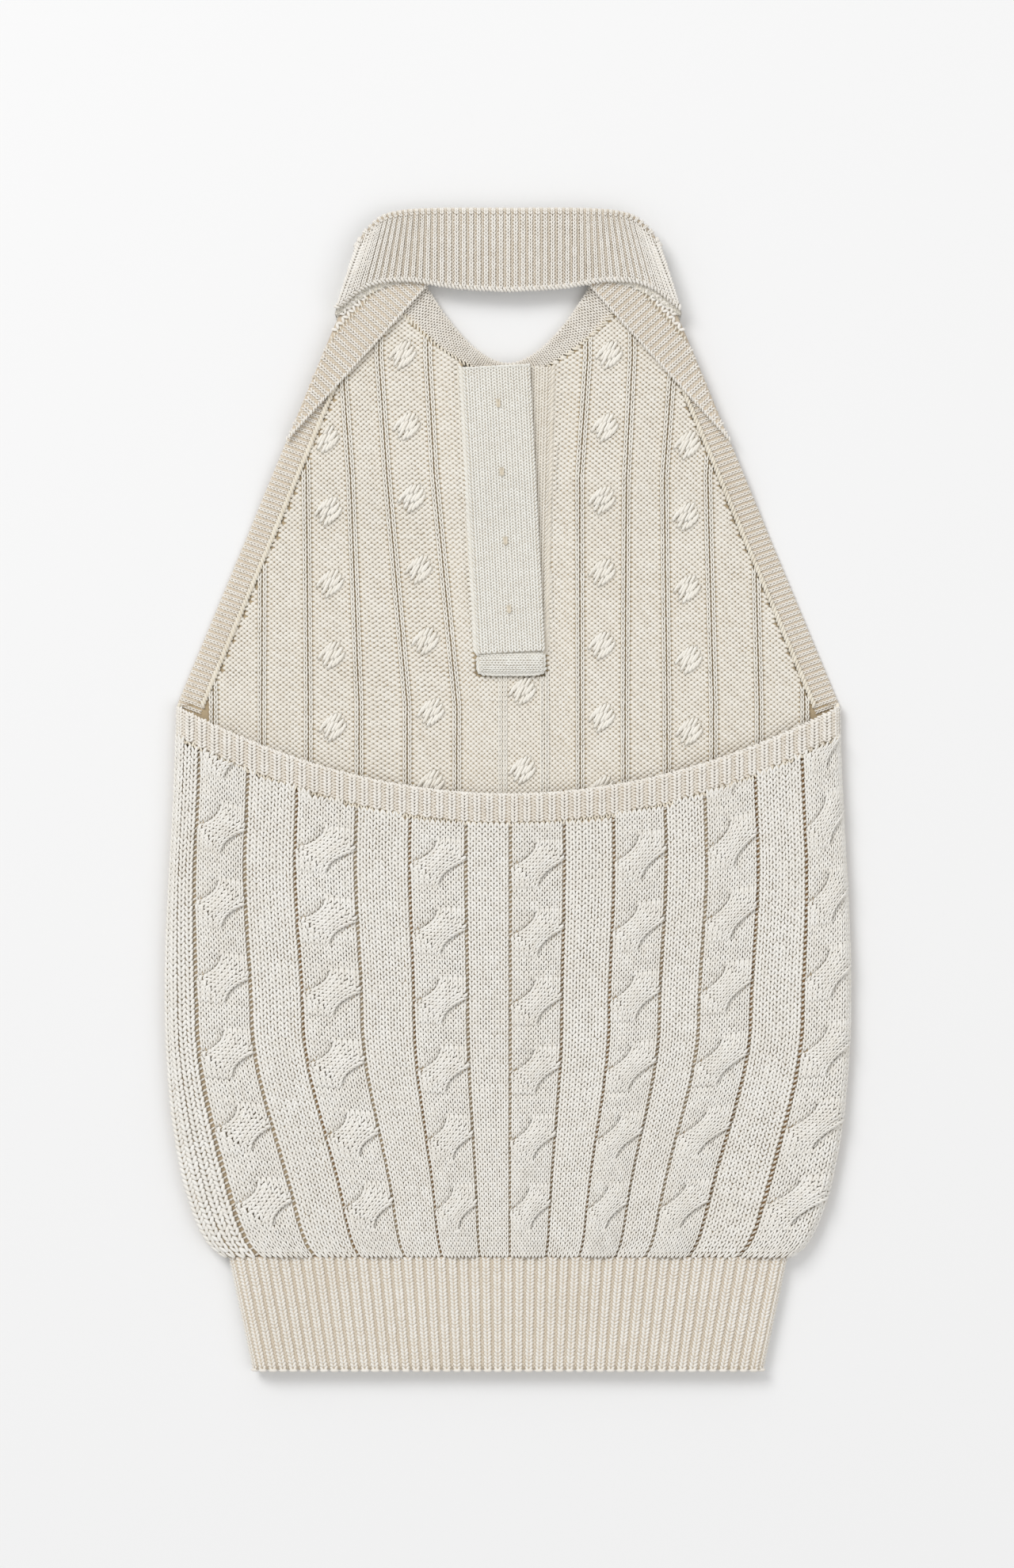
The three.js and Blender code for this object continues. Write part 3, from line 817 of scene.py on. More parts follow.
def knit_back():
    level = np.arange(hem_height + 1.4, 330, course)[None, :]
    sewn, hollows = Stitches(), Stitches()
    half_width = chest_width / 2
    ladder = channel / 2 / half_width

    def strip(left, right):
        count = max(1, int(round((right - left) * half_width / wale)))
        t = (np.arange(count) + 0.5) / count
        s = mix(left, right, t)[:, None]
        crown = 0.7 * (1 - np.abs(2 * t - 1) ** 3)[:, None]
        grid = back_surface(s, level, crown)
        sewn.lattice(grid, keep=back_kept(grid))

    strip(-0.998, back_cables[0][0] - ladder)
    for (_, left), (right, _) in zip(back_cables, back_cables[1:]):
        strip(left + ladder, right - ladder)
    for left, right in back_cables:
        wide = right - left - 2 * ladder
        away = cable_away(level)
        passing = np.abs(away) < (crossing_height + crossing_stagger) / 2 - 1
        wales = (np.arange(cable_wales)[:, None] + 0.5) / cable_wales

        def bulge(t):
            return 0.2 + 1.7 * (1 - np.abs(2 * t - 1) ** 2.5)

        # the wales that run straight, where no over strand covers them
        for first, edge in ((0.0, 0.5 * swung(0, away)), (0.5, 0.5 + 0.5 * swung(1, away))):
            side = 1 if first == 0 else -1
            t = first + 0.5 * wales
            clear = side * (edge - t)
            tucked = np.where(passing, np.exp(-np.clip(clear, 0, 1) * wide * half_width / 4), 0)
            grid = back_surface(left + ladder + wide * t, level, bulge(t) - 2.0 * tucked)
            sewn.lattice(grid, keep=back_kept(grid) & (~passing | (clear > -0.06)), depth=yarn * 1.1)
        # the strand that swings over the other at each crossing
        for crossing in range(cable_crossings):
            up = np.linspace(-0.5, 0.5, 160)[None, :] * (crossing_height + crossing_stagger)
            heights = cable_first + crossing * cable_period + up

            def over(w, lifted):
                turn = swung(w, up)
                t = 0.5 * w + 0.5 * turn
                high = np.maximum(1 - (2 * up / (crossing_height + crossing_stagger)) ** 2, 0) ** 0.6
                return back_surface(left + ladder + wide * t, heights, bulge(t) + lifted * high)

            crown = 1.5 - 0.7 * (2 * wales - 1) ** 2
            grid = evenly(over(wales, crown), course)
            sewn.lattice(grid, keep=back_kept(grid), depth=yarn * 1.15, grow=(1.08, 1.05))
            for w in (0.0, 1.0):
                path = over(np.array([[w]]), 0.5)[0]
                swinging = np.abs(up[0] - (0.5 - w) * crossing_stagger) < crossing_height * 0.62
                path = path[swinging & back_kept(path)]
                if len(path) > 20:
                    sewn.rope(path, 1.7, spacing=2.2, slant=4)
        for s in (left, right):
            if abs(s) > 0.99:
                continue
            # dark strands deep in the ladder: painted shade in its hollow
            middle_wale = (np.arange(3) == 1)[:, None]
            grid = back_surface(np.array([[s - 2 * ladder], [s], [s + 2 * ladder]]), level, -1.95)
            hollows.lattice(grid, kind=STRAND, keep=back_kept(grid) & middle_wale, depth=1.2, grow=(1.0, 1.7))
            grid = back_surface(s, level, -0.95)
            rung = unit(np.array([1.0, 0.62, 0.0]))
            sewn.add(grid, rung, UP, (1.5, 3.2, 1.4), STRAND, 0.25, back_kept(grid))
    # the ladders' strands of painted shade, as pieces of their own
    hollows.sew("back_ladder_shadow_strands", "garment", "cable_knit", ladder_painted_shade)
    return sewn.sew("back_cable_stitches", "garment", "cable_knit", cable_yarn)


def back_underside(top):
    """The back's lower face: level over the room inside, and just under the upper face where that curves down."""
    bottom = top.copy()
    thin = top[..., 2] - 0.5
    bottom[..., 2] = np.minimum(thin, np.where(top[..., 2] > back_bottom + 0.6, back_bottom + 0.1, thin))
    return bottom


def back_ground():
    s = np.linspace(-1, 1, 169)[:, None]
    v = np.linspace(0, 1, 80)[None, :]
    x_top = s * (underarm_half - 2)
    top_y = scoop_top(x_top) - scoop_band_height - 1.0
    level_top = hem_height + (top_y - hem_height) / (1 + 0.13 * s**2)
    level = hem_height + 0.4 + (level_top - hem_height - 0.4) * v
    near = np.min([np.abs(s - e) for cable in back_cables for e in cable], axis=0) * chest_width / 2
    dip = 0.2 - 1.9 * np.exp(-((near / 1.7) ** 2))
    top = back_surface(s, level, dip + 0.1)
    top[..., 2] -= 0.5
    return slab("back_fabric", top, back_underside(top), "garment", cable_gap_shade)


# ---- Hem ribs ----

def hem_surface(s, y, flat, edge, sink=0.0):
    half = outline(y) - 0.4
    x, z = rolled_side(s * (half + roll_length), half, flat - sink, edge)
    return grid_of(x, y, z)


def knit_hem():
    sewn = Stitches()
    rows = np.arange(1.6, hem_height + 0.4, fine_course)[None, :]
    # the purl wales' tone of 0.55 darkens them: painted shade in the rib's sunk gutters
    sewn.rib(lambda s, y, sink: hem_surface(s, y, back_top - 0.85, middle, sink), rows, hem_ribs,
             knits=(0.7, 0.0, 0.05), purls=(0.32, 1.1, 0.55), plump=1.05, dip=1.2 * np.exp(-rows / 1.4))
    for s in rib_centres(hem_ribs):  # the turn of the edge at the foot of each knit wale
        foot = hem_surface(s, 0.4, back_top - 1.2, middle)
        sewn.strand(foot, (1.0, 0, 0), (2.6, 4.6, 2.6), 0.1, facing=(0, -0.5, 1.0))
    return sewn.sew("hem_rib_stitches", "garment", "rib_knit", rib_yarn, Rings=3, most=4000)


def hem_ground(name, flat_low, flat_high, upper):
    s = np.linspace(-1, 1, 205)[:, None]
    y = np.linspace(0, 1, 12)[None, :] * hem_height
    ribbing = 0.5 * np.cos(s * hem_ribs * math.pi)
    y = y + 1.2 * (0.5 - ribbing) * np.exp(-y / 3)
    wave = 0.2 - ribbing
    if upper:
        top = hem_surface(s, y, flat_high - 1.0, middle, wave)
        bottom = hem_surface(s, y, flat_low + 0.1, middle - 0.5)
    else:
        top = hem_surface(s, y, flat_high - 0.2, middle - 0.6)
        bottom = hem_surface(s, y, flat_low + 0.1, middle - 1.2)
    return slab(name, top, bottom, "garment", rib_gap_shade if upper else plain_rib)


# ---- Scoop binding of the open back ----

def scoop_surface(s, down, sink=0.0):
    """s across the open back, and down from its top edge."""
    half = outline(underarm_y) - 0.8
    x, z = rolled_side(s * (half + roll_length), half, back_top - 0.75 - sink)
    z = z - 1.8 * (1 - np.clip(down / 2.0, 0, 1)) ** 2
    return grid_of(x, scoop_top(x) - down, z)


def knit_scoop():
    sewn = Stitches()
    down = np.arange(0.7, scoop_band_height - 0.2, 1.8)[None, ::-1]
    # the purls' tone of 0.3 is painted shade in the sunk gutters
    sewn.rib(scoop_surface, down, scoop_ribs, knits=(0.62, 0.0, 0.05), purls=(0.4, 0.8, 0.3), within=0.995)
    sewn.rope(scoop_surface(np.linspace(-0.995, 0.995, 200), 0.4, 0.3), 2.2, 2.0)
    return sewn.sew("back_neckline_stitches", "garment", "rib_knit", rib_yarn)


def scoop_ground():
    s = np.linspace(-1, 1, 160)[:, None]
    down = np.linspace(scoop_band_height, 0.3, 10)[None, :]
    top = scoop_surface(s, down, 0.9)
    return slab("back_neckline_fabric", top, back_underside(top), "garment", rib_gap_shade)


def scoop_seam():
    sewn = Stitches()
    down = np.array([scoop_band_height + 1.4, scoop_band_height + 0.1])[None, :]
    s = np.linspace(-0.99, 0.99, 118)[:, None]
    grid = scoop_surface(s, down, 0.25)
    middle_row = grid.mean(1, keepdims=True)
    along = grid[:, 1:] - grid[:, :1]
    across = np.gradient(middle_row, axis=0)
    size = np.stack([np.linalg.norm(across, axis=-1) * 0.9, np.linalg.norm(along, axis=-1) * 1.7,
                     np.full(middle_row.shape[:2], 1.4)], -1)
    sewn.add(middle_row, unit(along), unit(np.cross(across, along)), size, KNIT, 0.1)
    return sewn.sew("back_neckline_linking", "garment", "seam_yarn", seam_yarn)


# ---- Front, seen from its inside ----

# Distances of the ladders from the centre line, at three levels up the front.
front_ladder_levels = (379, 509, 577)
front_ladders = [
    (-168, -170, -170),
    (-140.4, -140, -140),
    (-113.9, -115, -117),
    (-85, -89.8, -94.5),
    (-57.6, -69, -73.6),
    (-29.3, -42, -45.8),
    (-3.2, -3.2, -3.2),
    (20.7, 20.7, 20.7),
    (41, 40.7, 45.2),
    (66.6, 67.3, 70.6),
    (90.5, 88.9, 93.8),
    (117, 113.6, 118),
    (143, 140, 141),
    (169, 168, 168),
]
# For each cable of the front: its left ladder, the level of one crossing, and the distance to the next.
front_crossings = [(2, 365.6, 41.0), (4, 374, 40.7), (6, 341, 45), (8, 371, 41.3), (10, 363, 40.8)]


# Slanted floats that make the lump behind a crossing, as distances from its centre.
crossing_floats = np.array([
    (-6.4, 1.2), (-4.4, 3.4), (-2.3, 4.9), (0.0, 5.6), (2.3, 5.4), (-3.4, -2.6), (-1.2, -4.6), (1.2, -3.6),
    (3.3, -2.2), (5.2, -0.4), (-3.6, 0.4), (-1.6, 1.0), (0.5, 0.6), (2.6, 1.3), (4.0, 2.6),
])


def ladder_x(index, y):
    return np.interp(y, front_ladder_levels, front_ladders[index])


def beside_placket(x, y):
    """How much the front rises towards the placket's bands, which are linked to it."""
    up = y - placket_foot_y
    left = on_band(-band_width / 2 - 2, up, button_band_lean)[0] - x
    right = x - on_band(band_width / 2 + 2, up, buttonhole_band_lean)[0]
    along = smooth(up, -16, 2)
    beside_left = 4.0 * np.exp(-np.clip(left, 0, None) / 7) * (left > -3)
    beside_right = 1.6 * np.exp(-np.clip(right, 0, None) / 6) * (right > -3)
    return along * (beside_left + beside_right)


def front_kept(x, y, room=0.0):
    arm = np.where(y > underarm_y, arm_band_width + arm_seam_width + 0.8, 1.0)
    within = np.abs(x) < outline(y) - arm - room
    within &= (y > scoop_top(x) - 9) & (y < neck_foot(x) - 2.0)
    up = y - placket_foot_y
    left, _ = on_band(-band_width / 2 - 1.0, up, button_band_lean)
    right, _ = on_band(band_width / 2 + 1.0, up, buttonhole_band_lean)
    slit = (up > -tack_height - 1.5) & (x > left) & (x < right)
    return within & ~slit


def knit_front():
    sewn = Stitches()
    y = np.arange(318, 612, course)[None, :]
    z = lift(y) + knit - 0.75
    pair = 2.6

    def crossing_near(index, x, y):
        close = np.zeros(np.broadcast(x, y).shape, bool)
        for left, level, period in front_crossings:
            if left == index:
                off = np.abs((y - level + period / 2) % period - period / 2)
                mid = (ladder_x(left, y) + ladder_x(left + 1, y)) / 2
                close |= (off < 1.6) & (np.abs(x - mid) < 1.2)
        return close

    for index in range(len(front_ladders) - 1):
        left, right = ladder_x(index, y) + pair, ladder_x(index + 1, y) - pair
        if index == 5:  # the placket runs between this ladder and the eighth
            right = ladder_x(8, y) - pair
        if index in (6, 7):
            continue
        count = int(round(float(np.mean(right - left)) / wale))
        t = ((np.arange(count) + 0.5) / count)[:, None]
        x = mix(left, right, t)
        hollow = -0.3 * (np.abs(2 * t - 1) ** 3)
        grid = grid_of(x, y, z + hollow + beside_placket(x, y))
        keep = front_kept(x, y) & ~crossing_near(index, x, y)
        sewn.lattice(grid, kind=PURL, keep=keep, depth=yarn * 1.05)
    for index in range(len(front_ladders)):
        below = (y < placket_foot_y - tack_height) | (index not in (6, 7))
        x = ladder_x(index, y) + np.array([[-pair * 0.56], [pair * 0.56]])
        grid = grid_of(x, y, z + 0.75 + beside_placket(x, y))
        sewn.lattice(grid, keep=front_kept(x, y) & below, depth=yarn * 1.1, grow=(0.8, 1), tone=-0.15)
    lean = math.radians(30)
    for left, level, period in front_crossings:
        for at in level + period * np.arange(-2, 7):
            centre = (ladder_x(left, at) + ladder_x(left + 1, at)) / 2
            for x, y in crossing_floats + (centre, at):
                if front_kept(x, y, 2):
                    z = lift(y) + beside_placket(x, y) + knit + 0.3
                    sewn.strand((x, y, z), (math.sin(lean), math.cos(lean), 0), (2.3, 7.0, 2.2), -0.1)
    return sewn.sew("front_inside_stitches", "garment", "inside_knit", inside_yarn, Sides=5, Rings=3, most=4600)


def front_ground():
    """The front in three sheets: one up to the placket's foot, and one on each side of its slit."""
    foot = placket_foot_y - tack_height - 1.2
    top_y = placket_top_y + 3

    def edge(sign, y):
        arm = np.where(y > underarm_y - 0.5, arm_band_width + arm_seam_width + 0.6, 0.4)
        return sign * (outline(y) - arm)

    t, y = meshed(np.linspace(0, 1, 150), mix(hem_height + 0.3, foot, np.linspace(0, 1, 90)))
    x = mix(edge(-1, y), edge(1, y), t)
    over = np.clip((np.abs(x) - (outline(y) - side_roll)) / side_roll, 0, 1)
    arch = (1 - np.sqrt(np.clip(1 - over**2, 0, 1))) * (y < underarm_y + 2)
    top = grid_of(x, y, lift(y) + knit - 1.0 + arch * (middle - knit - 0.2))
    bottom = grid_of(x, y, lift(y) + 0.1 + arch * (middle - 1.2))
    made = [slab("front_fabric", top, bottom, "garment", purl_gap_shade)]

    for (sign, label), lean in zip(sides, (button_band_lean, buttonhole_band_lean)):
        def outwards(y, t):
            slit = on_band(sign * (band_width / 2 + 0.2), y - placket_foot_y, lean)[0]
            return mix(slit, edge(sign, y), t)

        t, y = meshed(np.linspace(0, 1, 60), mix(foot, top_y, np.linspace(0, 1, 60)))
        # columns run up to the foot of the neckband
        stretch = (neck_foot(outwards(y, t)) - 1.9 - foot) / (top_y - foot)
        y = np.minimum(foot + (y - foot) * stretch, shoulder_y + 4)
        x = outwards(y, t)
        top = grid_of(x, y, lift(y) + knit - 1.0 + beside_placket(x, y))
        bottom = grid_of(x, y, lift(y) + 0.1)
        if sign < 0:
            top, bottom = top[::-1], bottom[::-1]
        made.append(slab("front_fabric_" + label, top, bottom, "garment", purl_gap_shade))
    return made


def knit_front_sides():
    """Stitches on the outer face of the front, where it shows along the sides."""
    sewn = Stitches()
    turn = np.radians([8, 36, 64])[:, None]
    for y, inset, drop, foot in (
        (np.arange(hem_height + 1.4, underarm_y - 1, course), 0.6, 0.2, 0.8),
        (np.arange(1.6, hem_height + 0.4, fine_course), 0.4, 0.4, 1.0),
    ):
        for sign in (-1, 1):
            x = sign * (outline(y) - inset - side_roll + side_roll * np.cos(turn))
            z = middle - drop - (middle - foot) * np.sin(turn)
            sewn.lattice(grid_of(x, y, z), up=(sign, 0, -0.4))
    return sewn.sew("front_side_stitches", "garment", "cable_knit", cable_yarn, Rings=3, most=4000)


# ---- Armholes ----

flap_foot_y = shoulder_y - flap_length
flap_foot_x = float(outline(flap_foot_y))
flap_edge_points = [
    (flap_inner_x, float(stand_foot(flap_inner_x)) - 1.3),
    (flap_foot_x - 46, neck_y - 34),
    (flap_foot_x, flap_foot_y),
]


def flap_edge(t):
    a, b, c = (np.array(p) for p in flap_edge_points)
    t = t[..., None]
    return (1 - t) ** 2 * a + 2 * t * (1 - t) * b + t**2 * c


def flap_kept(x, y, room):
    """Inside the turned part, below the collar's foot."""
    x = np.abs(x)
    return (x < outline(y) - room) & (y < stand_foot(np.minimum(x, shoulder_half)) + 6) & (y > flap_foot_y + 0.5)


def knit_armhole(side, label):
    sewn = Stitches()
    # the flat part: ribs across the band, from the edge inwards
    y = np.arange(underarm_y + 1.5, flap_foot_y + 48, 3.1)[:, None]
    inward = np.arange(1.0, arm_band_width, 1.9)[None, :]
    slope = (shoulder_half - underarm_half) / armhole_depth
    # purl rows get a tone of 0.5: painted shade in the sunk gutters
    for kind, shift, sink in ((KNIT, 0.0, 0.0), (PURL, 1.55, 0.8)):
        level = y + shift
        x = outline(level) - inward
        yy = level + inward * slope * 0.9
        roll = np.clip(1 - inward / 3.0, 0, 1) ** 2 * 1.6
        grid = grid_of(side * x, yy, lift(yy) + knit - 0.75 - sink - roll)
        sewn.lattice(grid, kind=kind, keep=yy < flap_foot_y + 50, grow=(0.62 if kind == KNIT else 0.4, 1), depth=yarn,
                     tone=0.05 if kind == KNIT else 0.5)
    # the turned part: ribs across its band, then plain knitting
    reach = flap_band
    last = flap_ribs + 9  # the ribs go on past the foot, to the garment's edge
    t = np.arange(last + 1) / flap_ribs
    edge = flap_edge(t)
    tangent = unit(np.gradient(edge, axis=0))
    outwards = np.stack([-tangent[:, 1], tangent[:, 0]], -1)
    outwards *= np.sign(outwards[:, :1])
    top = flap_bottom + flap_knit
    # purl rows get a tone of 0.5: painted shade in the sunk gutters
    for kind, shift, sink in ((KNIT, 0.0, 0.0), (PURL, 0.5, 0.8)):
        e = flap_edge(t + shift / flap_ribs)
        d = np.arange(0.9, reach, 1.9)[None, :, None]
        p = e[:, None, :] + outwards[:, None, :] * d
        roll = np.clip(1 - d[..., 0] / 2.5, 0, 1) ** 2 * 1.5
        grid = grid_of(side * p[..., 0], p[..., 1], top - 0.7 - sink - roll)
        keep = flap_kept(p[..., 0], p[..., 1], 0.8)
        sewn.lattice(grid, kind=kind, keep=keep, grow=(0.62 if kind == KNIT else 0.4, 1),
                     tone=0.05 if kind == KNIT else 0.5)
    d = np.arange(reach + 3.4, reach + 30, course)[None, :, None]
    p = flap_edge(np.linspace(0, last / flap_ribs, 34))[:, None, :]
    normal = outwards[np.linspace(0, last, 34).astype(int)][:, None, :]
    p = p + normal * d
    grid = grid_of(side * p[..., 0], p[..., 1], top - 0.7)
    sewn.lattice(grid, keep=flap_kept(p[..., 0], p[..., 1], 0.8))
    path = flap_edge(np.linspace(0.0, 1.0, 60))
    rope = grid_of(side * path[:, 0], path[:, 1], top - 1.3)
    sewn.rope(rope, 2.2, spacing=2.0, slant=35 * side)
    made = sewn.sew(f"armhole_rib_stitches_{label}", "garment", "rib_knit", rib_yarn, Rings=3, most=4000)
    linked = Stitches()
    seam = flap_edge(np.linspace(0.04, 0.96, 40))
    normal = outwards[np.linspace(1, 26, 40).astype(int)]
    seam = seam + normal * (reach + 1.2)
    seam = seam[flap_kept(seam[:, 0], seam[:, 1], 1)]
    linked.rope(grid_of(side * seam[:, 0], seam[:, 1], top - 0.5), 2.0, spacing=2.4, slant=60 * side)
    y = np.linspace(underarm_y + 1, flap_foot_y + 44, 100)
    x = outline(y) - arm_band_width - 1.5
    linked.rope(grid_of(side * x, y, lift(y) + knit - 0.2), 3.4, spacing=2.3, slant=38 * side)
    return made, linked.sew(f"armhole_linking_{label}", "garment", "seam_yarn", seam_yarn)


def armhole_ground(side, label):
    made = []
    y = np.linspace(underarm_y + 0.3, shoulder_y - 0.4, 60)[:, None]
    w = np.linspace(0, arm_band_width, 6)[None, :]
    x = outline(y) - w
    top = grid_of(side * x, y, np.minimum(lift(y) + knit - 1.1, flap_bottom + 0.2))
    roll = np.clip(1 - w / 3.0, 0, 1) ** 2 * 1.2
    top[..., 2] -= roll
    bottom = grid_of(side * x, y, lift(y) + 0.1 + roll * 0.5)
    made.append(slab(f"armhole_band_{label}", top, bottom, "garment", rib_gap_shade))
    t = np.linspace(0, 1, 40)
    e = flap_edge(t)
    far_x = np.interp(t, [0, 0.35, 1], [flap_inner_x + 1.5, shoulder_half - 0.5, flap_foot_x - 0.1])
    on_side = t >= 0.35
    side_y = np.interp(t, [0.35, 1], [shoulder_y - 1, flap_foot_y + 0.2])
    far_y = np.where(on_side, side_y, stand_foot(far_x) + 2)
    far_x = np.where(on_side, outline(side_y) - 0.5, far_x)
    far = np.stack([far_x, far_y], -1)
    v = np.linspace(0, 1, 14)[None, :, None]
    p = e[:, None, :] * (1 - v) + far[:, None, :] * v
    roll = np.clip(1 - v[..., 0] * 9, 0, 1) ** 2 + np.clip((v[..., 0] - 0.85) / 0.15, 0, 1) ** 2
    top = grid_of(side * p[..., 0], p[..., 1], flap_bottom + flap_knit - 1.2 - roll)
    bottom = grid_of(side * p[..., 0], p[..., 1], flap_bottom + 0.05)
    made.append(slab(f"armhole_turned_band_{label}", top, bottom, "garment", rib_gap_shade))
    return made


# ---- Collar ----

fall_top = fall_bottom + collar_knit
fold_radius = (fall_top - stand_bottom) / 2
fall_places = 200  # along half of the fall's edge, where its shape is worked out


def fall_lines():
    """For places spaced evenly along the rolled edge, the way a rib runs up from it and how far it is to the fold."""
    t = np.linspace(0, 1, 400)
    edge = spline(fall_edge, t)
    reach = travelled(edge)
    even = np.linspace(0, reach[-1], fall_places)
    edge = along_path(even, reach, edge)
    lean = np.radians(20) * smooth(even / reach[-1], 0.35, 1.0)
    way = np.stack([-np.sin(lean), np.cos(lean)], -1)
    fold = spline(collar_fold, t)
    low, high = np.zeros(fall_places), np.full(fall_places, 70.0)
    for _ in range(30):
        length = (low + high) / 2
        p = edge + way * length[:, None]
        inside = (p[:, 1] < np.interp(p[:, 0], fold[:, 0], fold[:, 1])) & (p[:, 0] < fold[-1, 0])
        low, high = np.where(inside, length, low), np.where(inside, high, length)
    top = edge + way * low[:, None]
    slope = np.gradient(fold[:, 1], fold[:, 0])
    tilt = np.interp(top[:, 0], fold[:, 0], slope)
    outwards = unit(np.stack([-tilt, np.ones_like(tilt)], -1))
    return edge, way, low, outwards


fall_edge_line, fall_way, fall_length, fall_outwards = fall_lines()


def fall_surface(s, up, sink=0.0):
    """s runs from -1 to 1 across the collar. up is 0 at the rolled edge, 1 where the fold starts, and 2 past it."""
    s, up = np.broadcast_arrays(np.asarray(s, float), np.asarray(up, float))
    side = np.sign(s + 1e-12)
    at, places = np.abs(s) * (fall_places - 1), np.arange(fall_places)
    edge, way, outwards = (along_path(at, places, table) for table in (fall_edge_line, fall_way, fall_outwards))
    length = np.interp(at, places, fall_length)
    radius = np.minimum(fold_radius - 0.7 - sink, length * 0.35)
    length = np.maximum(length - radius - 0.3, 0.3)
    t = np.clip(up, 0, 1)
    flat = edge + way * (length * t)[..., None]
    turn = np.clip(up - 1, 0, 1) * math.pi
    p = flat + outwards * (np.sin(turn) * radius)[..., None]
    swell = 0.8 * np.sin(t * math.pi)
    z = fall_top - 0.7 - sink + swell - (1 - np.cos(turn)) * radius
    z = z - 1.4 * np.clip(1 - up / 0.06, 0, 1) ** 2 * (up < 0.07)
    return grid_of(side * p[..., 0], p[..., 1], z)


def knit_collar():
    round_fold = 1 + np.linspace(0.06, 0.86, 7)
    up = np.concatenate([np.arange(0.045, 1.0, fine_course / (fall_height - 3)), round_fold])[None, :]
    made = {}
    for zone, ends, chosen in (
        ("middle", (-collar_end, collar_end), lambda s: np.abs(s) <= collar_end),
        ("left", (-0.995, -collar_end), lambda s: s < -collar_end),
        ("right", (collar_end, 0.995), lambda s: s > collar_end),
    ):
        sewn = Stitches()
        rows = up if zone == "middle" else up[:, up[0] < 1.5]
        # the purls' tone of 0.35 is painted shade in the sunk gutters
        sewn.rib(fall_surface, rows, collar_ribs, knits=(0.58, 0.0, 0.0), purls=(0.34, 1.2, 0.35), chosen=chosen)
        sewn.rope(fall_surface(np.linspace(*ends, 90), 0.012, 0.3), 3.0, spacing=2.05, slant=52)
        made[zone] = sewn.sew(f"collar_rib_stitches_{zone}", None, "rib_knit", rib_yarn)
    return made


def collar_ground():
    made = {}
    for zone, low, high, columns in (
        ("middle", -collar_end, collar_end, 120),
        ("left", -1, -collar_end, 40),
        ("right", collar_end, 1, 40),
    ):
        up = np.concatenate([np.linspace(0, 1, 16), 1 + np.linspace(0.1, 0.5, 6)])
        s, up = meshed(np.linspace(low, high, columns), up)
        # the sheets' tops are painted shade between the rib stitches; their undersides keep the yarn colour
        made[zone] = slab(f"collar_fabric_{zone}", fall_surface(s, up, 0.9), fall_surface(s, up, 2.6), None,
                          collar_cloth_and_gap_shade, shaded_top=True)
    # the cloth round the fold
    s, up = meshed(np.linspace(-collar_end, collar_end, 120), np.linspace(0.9, 2.0, 24))
    made["fold"] = slab("collar_fold_lining", fall_surface(s, up, 1.2), fall_surface(s, up, 2.4), None,
                        collar_cloth_and_gap_shade)
    return made


def stand_and_leaves():
    made = []
    s = np.linspace(-1, 1, 90)[:, None]
    v = np.linspace(0, 1, 14)[None, :]
    foot_x = s * (shoulder_half - 2)
    foot = np.stack([foot_x, stand_foot(foot_x)], -1)
    fold = mirrored(collar_fold, s)
    fold = np.stack([fold[..., 0] * (1 - 2.5 / collar_half), fold[..., 1] - 2.5], -1)
    p = foot * (1 - v[..., None]) + fold * v[..., None]
    ribs = 0.3 * np.cos(s * collar_ribs * math.pi)
    top = grid_of(p[..., 0], p[..., 1], stand_bottom + stand_knit - 0.4 + ribs)
    bottom = grid_of(p[..., 0], p[..., 1], stand_bottom + 0.1)
    made.append(slab("collar_stand_fabric", top, bottom, "garment", plain_rib))
    # a front point, from its edge along the neck to its edge under the front
    x = mix(5.0, neckband_fold_reach, np.arange(9) / 8)
    inner = np.append(np.stack([x, neck_fold(x) - 1.4], -1), [(neckband_fold_reach + 10, fold_y - 16)], axis=0)
    outer = [inner[0], (leaf_tip_x, leaf_tip_y), (collar_half - 4, shoulder_y - 2), (collar_half - 2, neck_y - 11),
             (collar_half - 13, fold_y - 35)]
    t = np.linspace(0, 1, 40)
    a = along_path(t, np.linspace(0, 1, len(inner)), inner)
    b = along_path(t, [0, 0.35, 0.75, 0.8, 1], outer)
    w = np.linspace(0, 1, 12)[None, :, None]
    q = a[:, None] * (1 - w) + b[:, None] * w
    for side, label in sides:
        top = grid_of(side * q[..., 0], q[..., 1], leaf_lift + leaf_knit - 0.1)
        bottom = grid_of(side * q[..., 0], q[..., 1], leaf_lift)
        made.append(slab(f"collar_leaf_fabric_{label}", top, bottom, "garment", plain_rib))
    return made


def neck_surface(s, up, sink=0.0):
    reach = mix(neckband_foot_reach, neckband_fold_reach, up)
    y = mix(neck_foot(s * neckband_foot_reach), neck_fold(s * neckband_fold_reach), up)
    z = neck_lift + knit - 0.75 - sink - 2.0 * np.clip((up - 0.85) / 0.15, 0, 1) ** 2
    return grid_of(s * reach, y, z)


def knit_neckband():
    sewn = Stitches()
    line = np.linspace(-1, 1, 600)
    reach = travelled(neck_surface(line, 0.6))
    s = np.interp(np.linspace(0, reach[-1], int(reach[-1] / 2.5)), reach, line)
    sewn.lattice(neck_surface(*meshed(s, np.linspace(0.06, 0.97, 8))), depth=yarn * 0.9, tone=0.1)
    edge = neck_surface(np.linspace(-0.98, 0.98, 160), 0.985, 0.2)
    sewn.rope(edge, 1.9, spacing=2.2, slant=60)
    made = sewn.sew("neckband_stitches", "garment", "rib_knit", rib_yarn, Rings=3, most=4000)
    linked = Stitches()
    x = np.linspace(-neckband_foot_reach + 2, neckband_foot_reach - 2, 200)
    path = grid_of(x, neck_foot(x) - 1.0, neck_lift + knit - 0.2)
    linked.rope(path, 2.4, spacing=2.5, slant=40)
    return made, linked.sew("collar_linking", "garment", "seam_yarn", seam_yarn)


